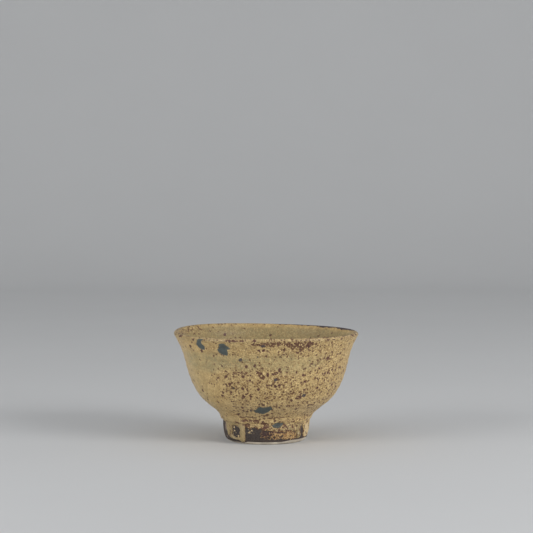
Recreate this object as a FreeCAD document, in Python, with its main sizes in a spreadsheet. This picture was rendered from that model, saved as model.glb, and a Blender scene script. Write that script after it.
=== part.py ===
import FreeCAD, Part
import math
import os
import Sketcher

# A thrown and glazed tea bowl on a separate luted-on foot ring.  +Z is up and the origin is the
# centre of the foot's standing face.  Every sub-part is a revolved layer, or a piece of one.

os.makedirs("parts", exist_ok=True)
doc = FreeCAD.newDocument("MatchaBowl")

# Driving dimensions: millimetres, and degrees for leans and azimuths (azimuth 270 faces the front).
dimensions = {
    # rim and lip
    "rimRadius": 67.5,
    "bowlHeight": 80.0,
    "lipThickness": 2.1,
    "lipLean": 29.0,
    "lipBand": 1.2,
    "flareReach": 10.2,
    # outer wall: inset and drop from the rim, then spread and rise from the foot's seat
    "waistInset": 8.0,
    "waistDrop": 20.0,
    "bellyInset": 9.9,
    "bellyDrop": 27.0,
    "flankSpread": 22.8,
    "flankRise": 23.0,
    "heelSpread": 13.6,
    "heelRise": 12.5,
    "wallThickness": 4.5,
    "heelThickness": 5.6,
    # floor of the well, and the recess under it
    "wellRadius": 20.0,
    "floorThickness": 5.4,
    "recessRadius": 22.5,
    "recessHeight": 8.5,
    "nubRadius": 6.0,
    "nubDepth": 1.2,
    # foot ring
    "seatRadius": 31.2,
    "seatHeight": 17.0,
    "footBulgeWidth": 0.2,
    "footBulgeHeight": 8.5,
    "toeHeight": 3.0,
    "toeInset": 1.6,
    "standInnerRadius": 21.0,
    "standWidth": 4.5,
    # glaze and slip layers
    "glazeThickness": 0.6,
    "glazeRollWidth": 0.8,
    "slipThickness": 0.3,
    "filmThickness": 0.35,
    "filmStart": 263.0,
    "filmSweep": 110.0,
    "runThickness": 0.8,
    # glaze run on the left of the foot, with an unglazed hole in it; rises are measured from the toe
    "leftRunAzimuth": 223.5,
    "leftRunWidth": 18.0,
    "leftRunRise": 0.4,
    "holeRadius": 3.2,
    "holeLength": 2.2,
    "holeRise": 6.0,
    # glaze run on the right of the foot, ending in a round bead
    "rightRunAzimuth": 318.0,
    "rightRunWidth": 9.0,
    "rightRunRise": 1.6,
    "beadRadius": 1.9,
    "beadRise": 3.6,
    # skips in the glaze where the slip shows: azimuth, drop from the rim or the seat, and extent
    "lipSkipAzimuth": 223.8,
    "lipSkipDrop": 8.9,
    "lipSkipWidth": 5.6,
    "lipSkipHeight": 5.1,
    "upperSkipAzimuth": 242.0,
    "upperSkipDrop": 12.2,
    "upperSkipWidth": 10.9,
    "upperSkipHeight": 8.2,
    "bellySkipAzimuth": 266.5,
    "bellySkipRise": 6.6,
    "bellySkipWidth": 13.4,
    "bellySkipHeight": 5.9,
    "footSkipAzimuth": 285.0,
    "footSkipDrop": 4.0,
    "footSkipWidth": 8.6,
    "footSkipHeight": 3.6,
}

sheet = doc.addObject("Spreadsheet::Sheet", "Sizes")
for row, (alias, number) in enumerate(dimensions.items(), start=1):
    sheet.set(f"A{row}", alias)
    sheet.set(f"B{row}", str(number))
    sheet.setAlias(f"B{row}", alias)
doc.recompute()


class Size:
    """A length worked out from the sheet: its expression, and the number it has now."""

    def __init__(self, text, value):
        self.text = text
        self.value = value

    def __add__(self, other):
        other = toSize(other)
        return Size(f"({self.text} + {other.text})", self.value + other.value)

    def __sub__(self, other):
        other = toSize(other)
        return Size(f"({self.text} - {other.text})", self.value - other.value)

    def __mul__(self, other):
        other = toSize(other)
        return Size(f"({self.text} * {other.text})", self.value * other.value)

    def __truediv__(self, other):
        other = toSize(other)
        return Size(f"({self.text} / {other.text})", self.value / other.value)


def toSize(item):
    """A Size stays as it is, and a plain number becomes one."""
    return item if isinstance(item, Size) else Size(repr(float(item)), float(item))


def size(alias):
    """The sheet's value with this alias."""
    return Size(f"Sizes.{alias}", float(sheet.get(alias)))


def sine(angle):
    return Size(f"sin({angle.text})", math.sin(math.radians(angle.value)))


def cosine(angle):
    return Size(f"cos({angle.text})", math.cos(math.radians(angle.value)))


def length(across, up):
    return Size(f"sqrt({across.text}^2 + {up.text}^2)", math.hypot(across.value, up.value))


def along(point, direction, distance):
    """The point this distance away in a unit direction; points are (radius, height)."""
    return (point[0] + direction[0] * distance, point[1] + direction[1] * distance)


def outward(upper, lower):
    """Unit normal that points away from the axis, of a wall that runs from lower to upper."""
    across = upper[0] - lower[0]
    up = upper[1] - lower[1]
    span = length(across, up)
    return (up / span, (lower[0] - upper[0]) / span)


zero = toSize(0)

# The lip: a half round across the wall's leaning direction.
lipLean = size("lipLean")
lipUp = (sine(lipLean), cosine(lipLean))
lipOut = (cosine(lipLean), zero - sine(lipLean))
glaze = size("glazeThickness")
clayLipRadius = size("lipThickness") / 2
glazeLipRadius = clayLipRadius + glaze
lipCentre = (size("rimRadius") - glazeLipRadius, size("bowlHeight") - glazeLipRadius)
halfRound = toSize(4) / 3    # pole distance that makes one cubic span a half circle of radius 1


def lipCurve(radius):
    """Half round of this radius from the inside of the lip over its crest to the outside."""
    inside = along(lipCentre, lipOut, zero - radius)
    outside = along(lipCentre, lipOut, radius)
    reach = radius * halfRound
    return [inside, along(inside, lipUp, reach), along(outside, lipUp, reach), outside]


# The clay's outer wall, from the end of the lip's band down to the foot's seat.
seat = (size("seatRadius"), size("seatHeight"))
bandEnd = along(along(lipCentre, lipOut, clayLipRadius), lipUp, zero - size("lipBand"))
flare = along(bandEnd, lipUp, zero - size("flareReach"))
waist = (size("rimRadius") - size("waistInset"), size("bowlHeight") - size("waistDrop"))
belly = (size("rimRadius") - size("bellyInset"), size("bowlHeight") - size("bellyDrop"))
flank = (seat[0] + size("flankSpread"), seat[1] + size("flankRise"))
heel = (seat[0] + size("heelSpread"), seat[1] + size("heelRise"))
outerWall = [bandEnd, flare, waist, belly, flank, heel, seat]


def wallNormals():
    """Outward normals at the outer wall's poles above the seat."""
    ends = [(bandEnd, flare), (bandEnd, flare)]
    ends += [(outerWall[i - 1], outerWall[i + 1]) for i in range(2, len(outerWall) - 1)]
    return [outward(upper, lower) for upper, lower in ends]


normals = wallNormals()


def coatedWall(thickness, foot):
    """The outer wall moved out by a layer's thickness, ending at the point foot on the seat."""
    return [along(pole, normal, thickness) for pole, normal in zip(outerWall, normals)] + [foot]


# The clay's inner wall, from the inside of the lip down to the middle of the well.
recessEdge = (size("recessRadius"), size("recessHeight"))
floorTop = size("recessHeight") + size("floorThickness")
lipInside = along(lipCentre, lipOut, zero - clayLipRadius)
innerFlare = along(lipInside, lipUp, zero - size("lipBand") - size("flareReach"))
wall = size("wallThickness")
bodyPoles = list(zip([waist, belly, flank, heel], normals[2:]))
bodyWalls = [wall, wall, wall, size("heelThickness")]


def innerWall(layer):
    """The inner wall moved in by a layer's thickness, from the lip to the axis."""
    start = along(lipInside, lipOut, zero - layer)
    poles = [start, along(innerFlare, lipOut, zero - layer)]
    for (pole, normal), thickness in zip(bodyPoles, bodyWalls):
        poles.append(along(pole, normal, zero - thickness - layer))
    return poles + [(size("wellRadius"), floorTop + layer), (zero, floorTop + layer)]


# The foot ring's side, from the seat down to the toe, and round the toe to the standing face.
standInner = size("standInnerRadius")
standOuter = standInner + size("standWidth")
footRadius = seat[0] + size("footBulgeWidth")
toe = (footRadius - size("toeInset"), size("toeHeight"))
bulge = (footRadius, size("footBulgeHeight"))
shoulder = (footRadius, (bulge[1] + seat[1]) / 2)
footSide = [seat, shoulder, bulge, toe]
toeCurve = [
    toe,
    (toe[0] - (bulge[0] - toe[0]) / 2, toe[1] / 2),
    ((standOuter + toe[0]) / 2, zero),
    (standOuter, zero),
]


def coatedFoot(thickness):
    """The foot's side moved out by a layer's thickness; layers are level at the seat and the toe."""
    return [(radius + thickness, height) for radius, height in footSide]


def fixPoint(sketch, geometry, position, point):
    """Hold one point of a sketch at (radius, height), on an axis where a value is zero."""
    for kind, value, axis in (("DistanceX", point[0], -2), ("DistanceY", point[1], -1)):
        if value is zero:
            sketch.addConstraint(Sketcher.Constraint("PointOnObject", geometry, position, axis))
            continue
        index = sketch.addConstraint(Sketcher.Constraint(kind, -1, 1, geometry, position, value.value))
        sketch.setExpression(f"Constraints[{index}]", value.text)


splineDegree = 3


def addOutline(sketch, pieces):
    """Draw a closed outline: a piece with two points is a line, one with more is a cubic spline."""
    ends = []
    for points in pieces:
        places = [FreeCAD.Vector(radius.value, height.value, 0) for radius, height in points]
        if len(points) == 2:
            piece = sketch.addGeometry(Part.LineSegment(*places))
            fixPoint(sketch, piece, 1, points[0])
            ends.append(piece)
            continue
        spans = len(points) - splineDegree
        curve = Part.BSplineCurve()
        multiplicities = [splineDegree + 1] + [1] * (spans - 1) + [splineDegree + 1]
        knots = [i / spans for i in range(spans + 1)]
        curve.buildFromPolesMultsKnots(places, multiplicities, knots, False, splineDegree)
        piece = sketch.addGeometry(curve)
        sketch.exposeInternalGeometry(piece)
        for i, point in enumerate(points[:-1]):
            fixPoint(sketch, piece + 1 + i, 3, point)
        ends.append(piece)
    for piece, following in zip(ends, ends[1:] + ends[:1]):
        sketch.addConstraint(Sketcher.Constraint("Coincident", piece, 2, following, 1))


def newSketch(body, name):
    """A sketch on the body's own XZ plane: sketch X is the radius and sketch Y the height."""
    sketch = body.newObject("Sketcher::SketchObject", name)
    plane = next(item for item in body.Origin.OriginFeatures if item.Role == "XZ_Plane")
    sketch.AttachmentSupport = [(plane, "")]
    sketch.MapMode = "FlatFace"
    return sketch


def revolved(name, pieces):
    """A body turned all the way round the Z axis from one closed outline."""
    body = doc.addObject("PartDesign::Body", name)
    sketch = newSketch(body, name + "Outline")
    addOutline(sketch, pieces)
    turn = body.newObject("PartDesign::Revolution", name + "Turn")
    turn.Profile = sketch
    turn.ReferenceAxis = (sketch, ["V_Axis"])
    turn.Angle = 360
    return body


def turnTo(body, angle):
    """Turn a body about the Z axis by an angle from the sheet."""
    body.Placement = FreeCAD.Placement(FreeCAD.Vector(), FreeCAD.Rotation(FreeCAD.Vector(0, 0, 1), 0))
    body.setExpression("Placement.Rotation.Angle", angle.text)


frontAzimuth = 270    # the way that a pad on the XZ plane points


def cutter(name, pieces, azimuth, shift):
    """A radial prism that faces this azimuth, from near the axis to outside the rim."""
    body = doc.addObject("PartDesign::Body", name)
    sketch = newSketch(body, name + "Outline")
    sketch.setExpression("AttachmentOffset.Base.x", shift[0].text)
    sketch.setExpression("AttachmentOffset.Base.y", shift[1].text)
    sketch.setExpression("AttachmentOffset.Base.z", standInner.text)
    addOutline(sketch, pieces)
    pad = body.newObject("PartDesign::Pad", name + "Pad")
    pad.Profile = sketch
    pad.setExpression("Length", size("rimRadius").text)
    turnTo(body, size(azimuth) - frontAzimuth)
    return body


def loop(points):
    """Straight pieces round a closed list of points."""
    return [[point, following] for point, following in zip(points, points[1:] + points[:1])]


def boolean(kind, name, base, tool):
    item = doc.addObject(kind, name)
    item.Base = base
    item.Tool = tool
    return item


def fused(name, items):
    item = doc.addObject("Part::MultiFuse", name)
    item.Shapes = items
    return item


# The clay bowl: lip, outer wall, the cone that sits in the foot ring, and the recess with its nub.
clayInside = innerWall(zero)
nubEdge = (size("nubRadius"), recessEdge[1] - size("nubDepth"))
nubPoles = [recessEdge, ((recessEdge[0] + nubEdge[0]) / 2, recessEdge[1]), nubEdge, (zero, nubEdge[1])]
clayBowl = revolved("clay_bowl", [
    lipCurve(clayLipRadius),
    [lipCurve(clayLipRadius)[-1], bandEnd],
    outerWall,
    [seat, recessEdge],
    nubPoles,
    [nubPoles[-1], clayInside[-1]],
    clayInside[::-1],
])

# The foot ring: its seat is the bowl's own cone.
footRing = revolved("foot_ring", [
    footSide,
    toeCurve,
    [toeCurve[-1], (standInner, zero)],
    [(standInner, zero), recessEdge],
    [recessEdge, seat],
])

# The inner glaze runs from the middle of the well over the lip and down its outer band.
glazeInside = innerWall(glaze)
glazeBandEnd = along(bandEnd, lipOut, glaze)
innerGlaze = revolved("inner_glaze", [
    lipCurve(glazeLipRadius),
    [lipCurve(glazeLipRadius)[-1], glazeBandEnd],
    [glazeBandEnd, bandEnd],
    [bandEnd, lipCurve(clayLipRadius)[-1]],
    lipCurve(clayLipRadius)[::-1],
    clayInside,
    [clayInside[-1], glazeInside[-1]],
    glazeInside[::-1],
])


def wallLayer(name, thickness, rollWidth):
    """A layer on the outer wall, from the lip's band to the seat."""
    outside = coatedWall(thickness, (seat[0] + rollWidth, seat[1]))
    return revolved(name, [outside, [outside[-1], seat], outerWall[::-1], [bandEnd, outside[0]]])


def footLayer(name, thickness):
    """A layer on the foot's side, from the seat to the toe."""
    outside = coatedFoot(thickness)
    return revolved(name, [outside, [outside[-1], toe], footSide[::-1], [seat, outside[0]]])


# Skips in the glaze.  Each outline is drawn by eye, as coarse shares of the skip's own width and height.
skipShapes = {
    "lip": [
        (0.4, 1), (0, 0.5), (0.4, 0.15), (0.8, 0), (1, 0.1), (0.85, 0.35), (0.6, 0.4), (0.7, 0.7), (1, 1),
    ],
    "upper": [
        (0.1, 0.9), (0.55, 1), (0.7, 0.8), (1, 0.5), (0.65, 0.5), (0.75, 0.2), (0.7, 0),
        (0.45, 0.1), (0.25, 0.2), (0, 0.5), (0.2, 0.7),
    ],
    "belly": [
        (0, 0.4), (0.2, 0.65), (0.35, 1), (0.55, 0.85), (0.9, 1), (1, 0.7), (0.7, 0.2),
        (0.45, 0), (0.3, 0.1), (0.05, 0.25),
    ],
    "foot": [
        (0, 0.4), (0.3, 0.8), (0.55, 1), (0.8, 0.8), (1, 0.85), (0.8, 0.35), (0.55, 0), (0.1, 0.1),
    ],
}
skipLevels = {
    "lip": size("bowlHeight") - size("lipSkipDrop"),
    "upper": size("bowlHeight") - size("upperSkipDrop"),
    "belly": seat[1] + size("bellySkipRise"),
    "foot": seat[1] - size("footSkipDrop"),
}


def skipCutter(place):
    """The prism of one skip, with its outline's corner half a width to the left."""
    width = size(place + "SkipWidth")
    height = size(place + "SkipHeight")
    points = []
    for across, up in skipShapes[place]:
        points.append((width * across if across else zero, height * up if up else zero))
    return cutter(place + "Skip", loop(points), place + "SkipAzimuth", (zero - width / 2, skipLevels[place]))


skips = {place: skipCutter(place) for place in skipShapes}
wallSlip = wallLayer("WallSlip", size("slipThickness"), size("slipThickness"))
footSlip = footLayer("FootSlip", size("slipThickness"))
slipPatches = [
    boolean("Part::Common", f"slip_patch_{place}", footSlip if place == "foot" else wallSlip, skips[place])
    for place in skipShapes
]

# The outer glaze, open over the three skips on the wall.
wallGlaze = wallLayer("WallGlaze", glaze, size("glazeRollWidth"))
wallSkips = fused("WallSkips", [skips["lip"], skips["upper"], skips["belly"]])
outerGlaze = boolean("Part::Cut", "outer_glaze", wallGlaze, wallSkips)


# Glaze runs hang from the seat down the foot's side, each with a round end.
runLayer = footLayer("RunLayer", size("runThickness"))


def halfRoundReach(width):
    """Distance of the poles that round off an end of this width."""
    return width / 2 * halfRound


def runCutter(side):
    """The prism of a run, from past the seat down to a round end at the run's rise above the toe."""
    width = size(side + "RunWidth")
    reach = halfRoundReach(width)
    overshoot = reach / 4    # the curve's lowest point lies this far above its poles
    bottom = toe[1] + size(side + "RunRise") - overshoot
    top = seat[1] + size("runThickness") - bottom
    left = (zero, reach)
    right = (width, reach)
    pieces = [
        [left, (zero, zero), (width, zero), right],
        [right, (width, top)],
        [(width, top), (zero, top)],
        [(zero, top), left],
    ]
    return cutter(side + "Run", pieces, side + "RunAzimuth", (zero - width / 2, bottom))


def holeCutter():
    """The prism of the hole in the left run: two half rounds joined by straight sides."""
    radius = size("holeRadius")
    reach = halfRoundReach(radius * 2)
    width = radius * 2
    low = reach
    high = reach + size("holeLength")
    top = high + reach
    pieces = [
        [(zero, low), (zero, zero), (width, zero), (width, low)],
        [(width, low), (width, high)],
        [(width, high), (width, top), (zero, top), (zero, high)],
        [(zero, high), (zero, low)],
    ]
    middle = reach + size("holeLength") / 2
    shift = (zero - radius, toe[1] + size("holeRise") - middle)
    return cutter("RunHole", pieces, "leftRunAzimuth", shift)


leftRun = runCutter("left")
rightRun = runCutter("right")
leftTongue = boolean("Part::Common", "LeftTongue", runLayer, leftRun)
leftGlazeRun = boolean("Part::Cut", "left_glaze_run", leftTongue, holeCutter())

# The bead at the end of the right run stands on the foot ring's side.
beadBall = doc.addObject("Part::Sphere", "BeadBall")
beadBall.setExpression("Radius", size("beadRadius").text)
beadAngle = size("rightRunAzimuth")
beadBall.setExpression("Placement.Base.x", (footRadius * cosine(beadAngle)).text)
beadBall.setExpression("Placement.Base.y", (footRadius * sine(beadAngle)).text)
beadBall.setExpression("Placement.Base.z", (toe[1] + size("beadRise")).text)
bead = boolean("Part::Cut", "Bead", beadBall, footRing)
rightTongue = boolean("Part::Common", "RightTongue", runLayer, rightRun)
rightGlazeRun = fused("right_glaze_run", [rightTongue, bead])

# The thin glaze film round part of the foot, open for the right run and the skip.
filmBody = footLayer("FilmLayer", size("filmThickness"))
filmBody.Tip.setExpression("Angle", size("filmSweep").text)
turnTo(filmBody, size("filmStart"))
filmHoles = fused("FilmHoles", [rightRun, beadBall, skips["foot"]])
footGlazeFilm = boolean("Part::Cut", "foot_glaze_film", filmBody, filmHoles)

subParts = [clayBowl, footRing, outerGlaze, innerGlaze, leftGlazeRun, rightGlazeRun, footGlazeFilm]
subParts += slipPatches
for item in subParts:
    item.Label = item.Name
doc.recompute()

for item in doc.Objects:
    if "Invalid" in item.State or "Error" in item.State:
        raise RuntimeError(f"{item.Label} did not recompute: {item.State}")
for item in subParts:
    if item.Shape.isNull() or not item.Shape.isValid() or not item.Shape.Solids:
        raise RuntimeError(f"{item.Label} is not a valid solid")
for item in subParts:
    item.Shape.exportStep(f"parts/{item.Label}.step")
    print(item.Label, len(item.Shape.Solids), "solid", round(item.Shape.Volume, 1), "mm3")
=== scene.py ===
import bpy
import math
import numpy as np
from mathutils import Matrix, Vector


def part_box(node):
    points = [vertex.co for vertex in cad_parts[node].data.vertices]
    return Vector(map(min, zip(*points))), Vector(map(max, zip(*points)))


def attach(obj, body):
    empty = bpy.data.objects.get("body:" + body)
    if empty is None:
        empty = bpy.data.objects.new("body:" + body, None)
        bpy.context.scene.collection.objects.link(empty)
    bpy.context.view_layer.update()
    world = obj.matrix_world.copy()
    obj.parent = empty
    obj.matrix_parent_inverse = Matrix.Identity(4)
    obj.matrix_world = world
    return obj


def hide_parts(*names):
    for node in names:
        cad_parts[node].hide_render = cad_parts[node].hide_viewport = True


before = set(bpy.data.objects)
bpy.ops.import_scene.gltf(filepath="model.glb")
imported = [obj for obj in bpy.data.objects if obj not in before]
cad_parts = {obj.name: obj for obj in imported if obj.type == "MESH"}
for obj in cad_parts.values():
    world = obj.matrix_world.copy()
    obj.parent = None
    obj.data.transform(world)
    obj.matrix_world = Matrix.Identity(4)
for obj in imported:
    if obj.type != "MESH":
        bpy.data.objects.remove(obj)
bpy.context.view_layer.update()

mm = 0.001

# sizes that the CAD frame gives, in millimetres
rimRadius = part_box("inner_glaze")[1][0] / mm
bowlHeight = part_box("inner_glaze")[1][2] / mm
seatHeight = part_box("foot_ring")[1][2] / mm
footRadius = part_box("foot_ring")[1][0] / mm
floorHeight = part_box("inner_glaze")[0][2] / mm + 0.6
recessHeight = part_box("clay_bowl")[0][2] / mm + 1.2
print("frame: rim", round(rimRadius, 1), "height", round(bowlHeight, 1), "foot", round(footRadius, 1))


# clamped cubic spline through the ends of its poles: each basis is built up from the one a degree lower
def splineCurve(poles, count):
    poles = np.array(poles, dtype=float)
    spans = len(poles) - 3
    knots = np.concatenate([[0.0] * 3, np.linspace(0.0, 1.0, spans + 1), [1.0] * 3])
    t = np.linspace(0.0, 1.0, count)
    basis = [((knots[i] <= t) & (t < knots[i + 1])).astype(float) for i in range(len(knots) - 1)]
    basis[2 + spans][-1] = 1.0    # the last span owns its own end
    for degree in (1, 2, 3):
        raised = []
        for i in range(len(basis) - 1):
            left = knots[i + degree] - knots[i]
            right = knots[i + degree + 1] - knots[i + 1]
            value = (t - knots[i]) / left * basis[i] if left > 0 else 0.0
            value = value + ((knots[i + degree + 1] - t) / right * basis[i + 1] if right > 0 else 0.0)
            raised.append(value)
        basis = raised
    return np.stack(basis, axis=1) @ poles


# half circle from the inside of the lip over its crest to the outside, across a leaning wall
def lipArc(centre, radius, lean, count):
    angle = np.radians(np.linspace(180.0 - lean, -lean, count))
    return np.stack([centre[0] + radius * np.cos(angle), centre[1] + radius * np.sin(angle)], axis=1)


# joined curves, walked at an even pace
def joinCurves(*curves):
    line = curves[0]
    for curve in curves[1:]:
        line = np.concatenate([line, curve[1:]])
    return line


# length walked to each point of a line: the running sum of the straight distances between its points
def arcLength(line):
    return np.concatenate([[0.0], np.cumsum(np.hypot(*np.diff(line, axis=0).T))])


# points of a line at given lengths along it, straight between its own points
def resample(line, stations):
    run = arcLength(line)
    return np.stack([np.interp(stations, run, line[:, k]) for k in (0, 1)], axis=1)


# unit normals of a profile, to the left of the way it is walked
def profileNormals(line):
    tangent = np.gradient(line, axis=0)
    tangent /= np.maximum(np.hypot(tangent[:, 0], tangent[:, 1]), 1e-9)[:, None]
    return np.stack([-tangent[:, 1], tangent[:, 0]], axis=1)


# soft step: 0 below low, 1 above high, and t squared times (3 - 2t) between them
def smooth(low, high, value):
    t = np.clip((value - low) / (high - low), 0.0, 1.0)
    return t * t * (3.0 - 2.0 * t)


bowlShape = {
    "lipRadius": 1.65, "lipLean": 29.0,
    "flare": (4.4, 10.0), "waist": (7.6, 18.5), "belly": (9.1, 27.0),    # inset and drop from the rim
    # out and up from the seat
    "flank": (23.1, 24.0), "heel": (15.2, 11.5), "skirt": (4.8, 5.5), "roll": (0.9, 0.0),
    "glaze": 0.6,
    "innerFlare": (8.6, 10.8), "innerWaist": (12.9, 18.8), "innerBelly": (14.8, 25.7),
    "innerFlank": (18.0, 37.6), "innerHeel": (27.1, 46.1), "wellRadius": 20.0,
}
profilePoints = 400    # points on the inner and on the outer profile
lipPoints = 40
lipCentre = (rimRadius - bowlShape["lipRadius"], bowlHeight - bowlShape["lipRadius"])
seat = (footRadius - 0.1, seatHeight)
lip = lipArc(lipCentre, bowlShape["lipRadius"], bowlShape["lipLean"], lipPoints)


# a pole of the profile: the rim's radius and height less the named inset and drop
def fromRim(name):
    return (rimRadius - bowlShape[name][0], bowlHeight - bowlShape[name][1])


# a pole of the profile: the seat's radius and height plus the named distances out and up
def fromSeat(name):
    return (seat[0] + bowlShape[name][0], seat[1] + bowlShape[name][1])


outerLine = splineCurve(
    [lip[-1], fromRim("flare"), fromRim("waist"), fromRim("belly"), fromSeat("flank"), fromSeat("heel"),
     fromSeat("skirt"), fromSeat("roll")], profilePoints)
innerLine = splineCurve(
    [lip[0], fromRim("innerFlare"), fromRim("innerWaist"), fromRim("innerBelly"), fromRim("innerFlank"),
     fromRim("innerHeel"), (bowlShape["wellRadius"], floorHeight), (0.0, floorHeight)], profilePoints)
# glaze surface, from the well over the lip to the foot
skinLine = joinCurves(innerLine[::-1], lip, outerLine)
skinNormal = profileNormals(skinLine)
clayLine = skinLine - skinNormal * bowlShape["glaze"]
skinStations = arcLength(skinLine)
skinRun = skinStations[-1]
lipStart = skinStations[profilePoints - 1]
lipCrest = skinStations[profilePoints - 1 + lipPoints // 2]    # where the lip is highest
lipEnd = skinStations[profilePoints - 1 + lipPoints - 1]
print("profile: skin length", round(skinRun, 1), "mm")


settling = {
    "tilt": -0.42, "saddle": -0.5, "tripleWave": 0.3,    # rise of the rim in mm, by one, two and three waves
    "oval": 0.3, "ovalTurn": 140.0, "lean": -0.3,    # spread of the rim in mm, and its shift to the left
    "ridge": 0.09, "ridgePitch": 5.6, "lump": 0.13, "rightSwell": 0.55, "footSwell": 0.7,
}


# hand-thrown unevenness in mm: a shallow rising spiral and slow lumps, for a turn in radians and a height
def thrownRelief(turn, height):
    wander = 0.8 * np.sin(2 * turn + height / 17.0)
    spiral = np.sin(2 * np.pi * height / settling["ridgePitch"] + turn + wander)
    lumps = np.sin(3 * turn + height / 9.0) * np.sin(height / 7.0 - turn)
    lumps = lumps + 0.6 * np.sin(7 * turn - height / 11.0)
    return settling["ridge"] * spiral + settling["lump"] * 0.5 * lumps


# rise and spread of the wall: a few low waves round the rim that fade to nothing at the foot
def settle(points):
    x, y, z = points[..., 0], points[..., 1], points[..., 2]
    turn = np.arctan2(y, x)
    radius = np.hypot(x, y)
    fade = smooth(seatHeight + 4.0, bowlHeight, z)
    reach = fade * np.clip(radius / rimRadius, 0.0, 1.0)
    lift = settling["tilt"] * np.cos(turn) + settling["saddle"] * np.sin(2 * turn)
    lift = lift + settling["tripleWave"] * np.sin(3 * turn)
    spread = reach * settling["oval"] * np.cos(2 * turn - 2 * math.radians(settling["ovalTurn"]))
    swell = settling["rightSwell"] * np.clip(np.cos(turn), 0.0, 1.0) ** 2 * heightBand(z, 24.0, 66.0, 9.0)
    heel = settling["footSwell"] * np.clip(-np.cos(turn), 0.0, 1.0) ** 2
    swell = swell + heel * (1.0 - smooth(15.0, 24.0, z))
    relief = thrownRelief(turn, z) * heightBand(z, 21.0, 76.0, 4.0) * smooth(6.0, 14.0, radius)
    spread = spread + swell + relief
    moved = points.copy()
    moved[..., 0] = x + spread * np.cos(turn) + reach * settling["lean"]
    moved[..., 1] = y + spread * np.sin(turn)
    moved[..., 2] = z + lift * reach
    return moved


# columns round the axis in radians, closer together where the front shows fine detail
def columnTurns(frontCount, backCount, frontStart=196.0, backStart=336.0):
    front = np.linspace(frontStart, backStart, frontCount, endpoint=False)
    back = np.linspace(backStart, frontStart + 360.0, backCount, endpoint=False)
    return np.radians(np.concatenate([front, back]))


# rows of (radius, height) turned round the axis: x = radius cos turn, y = radius sin turn
def turned(line, turns):
    radius, height = line[:, 0][:, None], line[:, 1][:, None]
    flat = np.ones_like(turns)[None, :]
    return np.stack([radius * np.cos(turns), radius * np.sin(turns), height * flat], axis=2)


# mesh object from points in millimetres, corner numbers of triangles and one value a point for each field
def makeObject(name, vertices, triangles, fields):
    mesh = bpy.data.meshes.new(name)
    mesh.vertices.add(len(vertices))
    mesh.vertices.foreach_set("co", (vertices * mm).astype(np.float32).ravel())
    mesh.loops.add(triangles.size)
    mesh.loops.foreach_set("vertex_index", triangles.astype(np.int32).ravel())
    mesh.polygons.add(len(triangles))
    mesh.polygons.foreach_set("loop_start", np.arange(0, triangles.size, 3, dtype=np.int32))
    mesh.polygons.foreach_set("loop_total", np.full(len(triangles), 3, dtype=np.int32))
    mesh.polygons.foreach_set("use_smooth", np.ones(len(triangles), dtype=bool))
    mesh.update(calc_edges=True)
    for field, values in fields.items():
        layer = mesh.attributes.new(field, "FLOAT", "POINT")
        layer.data.foreach_set("value", values.astype(np.float32))
    mesh.validate()
    mesh.set_sharp_from_angle(angle=math.radians(48))
    piece = bpy.data.objects.new(name, mesh)
    bpy.context.scene.collection.objects.link(piece)
    return piece


# grid corners as two triangles for each square, the last column joined to the first
def gridTriangles(rows, columns, closed=True):
    across = columns if closed else columns - 1
    row = np.arange(rows - 1)[:, None]
    column = np.arange(across)[None, :]
    following = (column + 1) % columns
    a, b = row * columns + column, row * columns + following
    c, d = a + columns, b + columns
    return np.concatenate([np.stack([a, c, b], 2).reshape(-1, 3), np.stack([b, c, d], 2).reshape(-1, 3)])


# points that share a place become one, and triangles with no area go
def mergeDoubles(vertices, triangles, fields):
    key = np.round(vertices * 1e5).astype(np.int64)
    _, first, index = np.unique(key, axis=0, return_index=True, return_inverse=True)
    triangles = index.reshape(-1)[triangles]
    good = (triangles[:, 0] != triangles[:, 1]) & (triangles[:, 1] != triangles[:, 2])
    good &= triangles[:, 0] != triangles[:, 2]
    return vertices[first], triangles[good], {name: values[first] for name, values in fields.items()}


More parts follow.
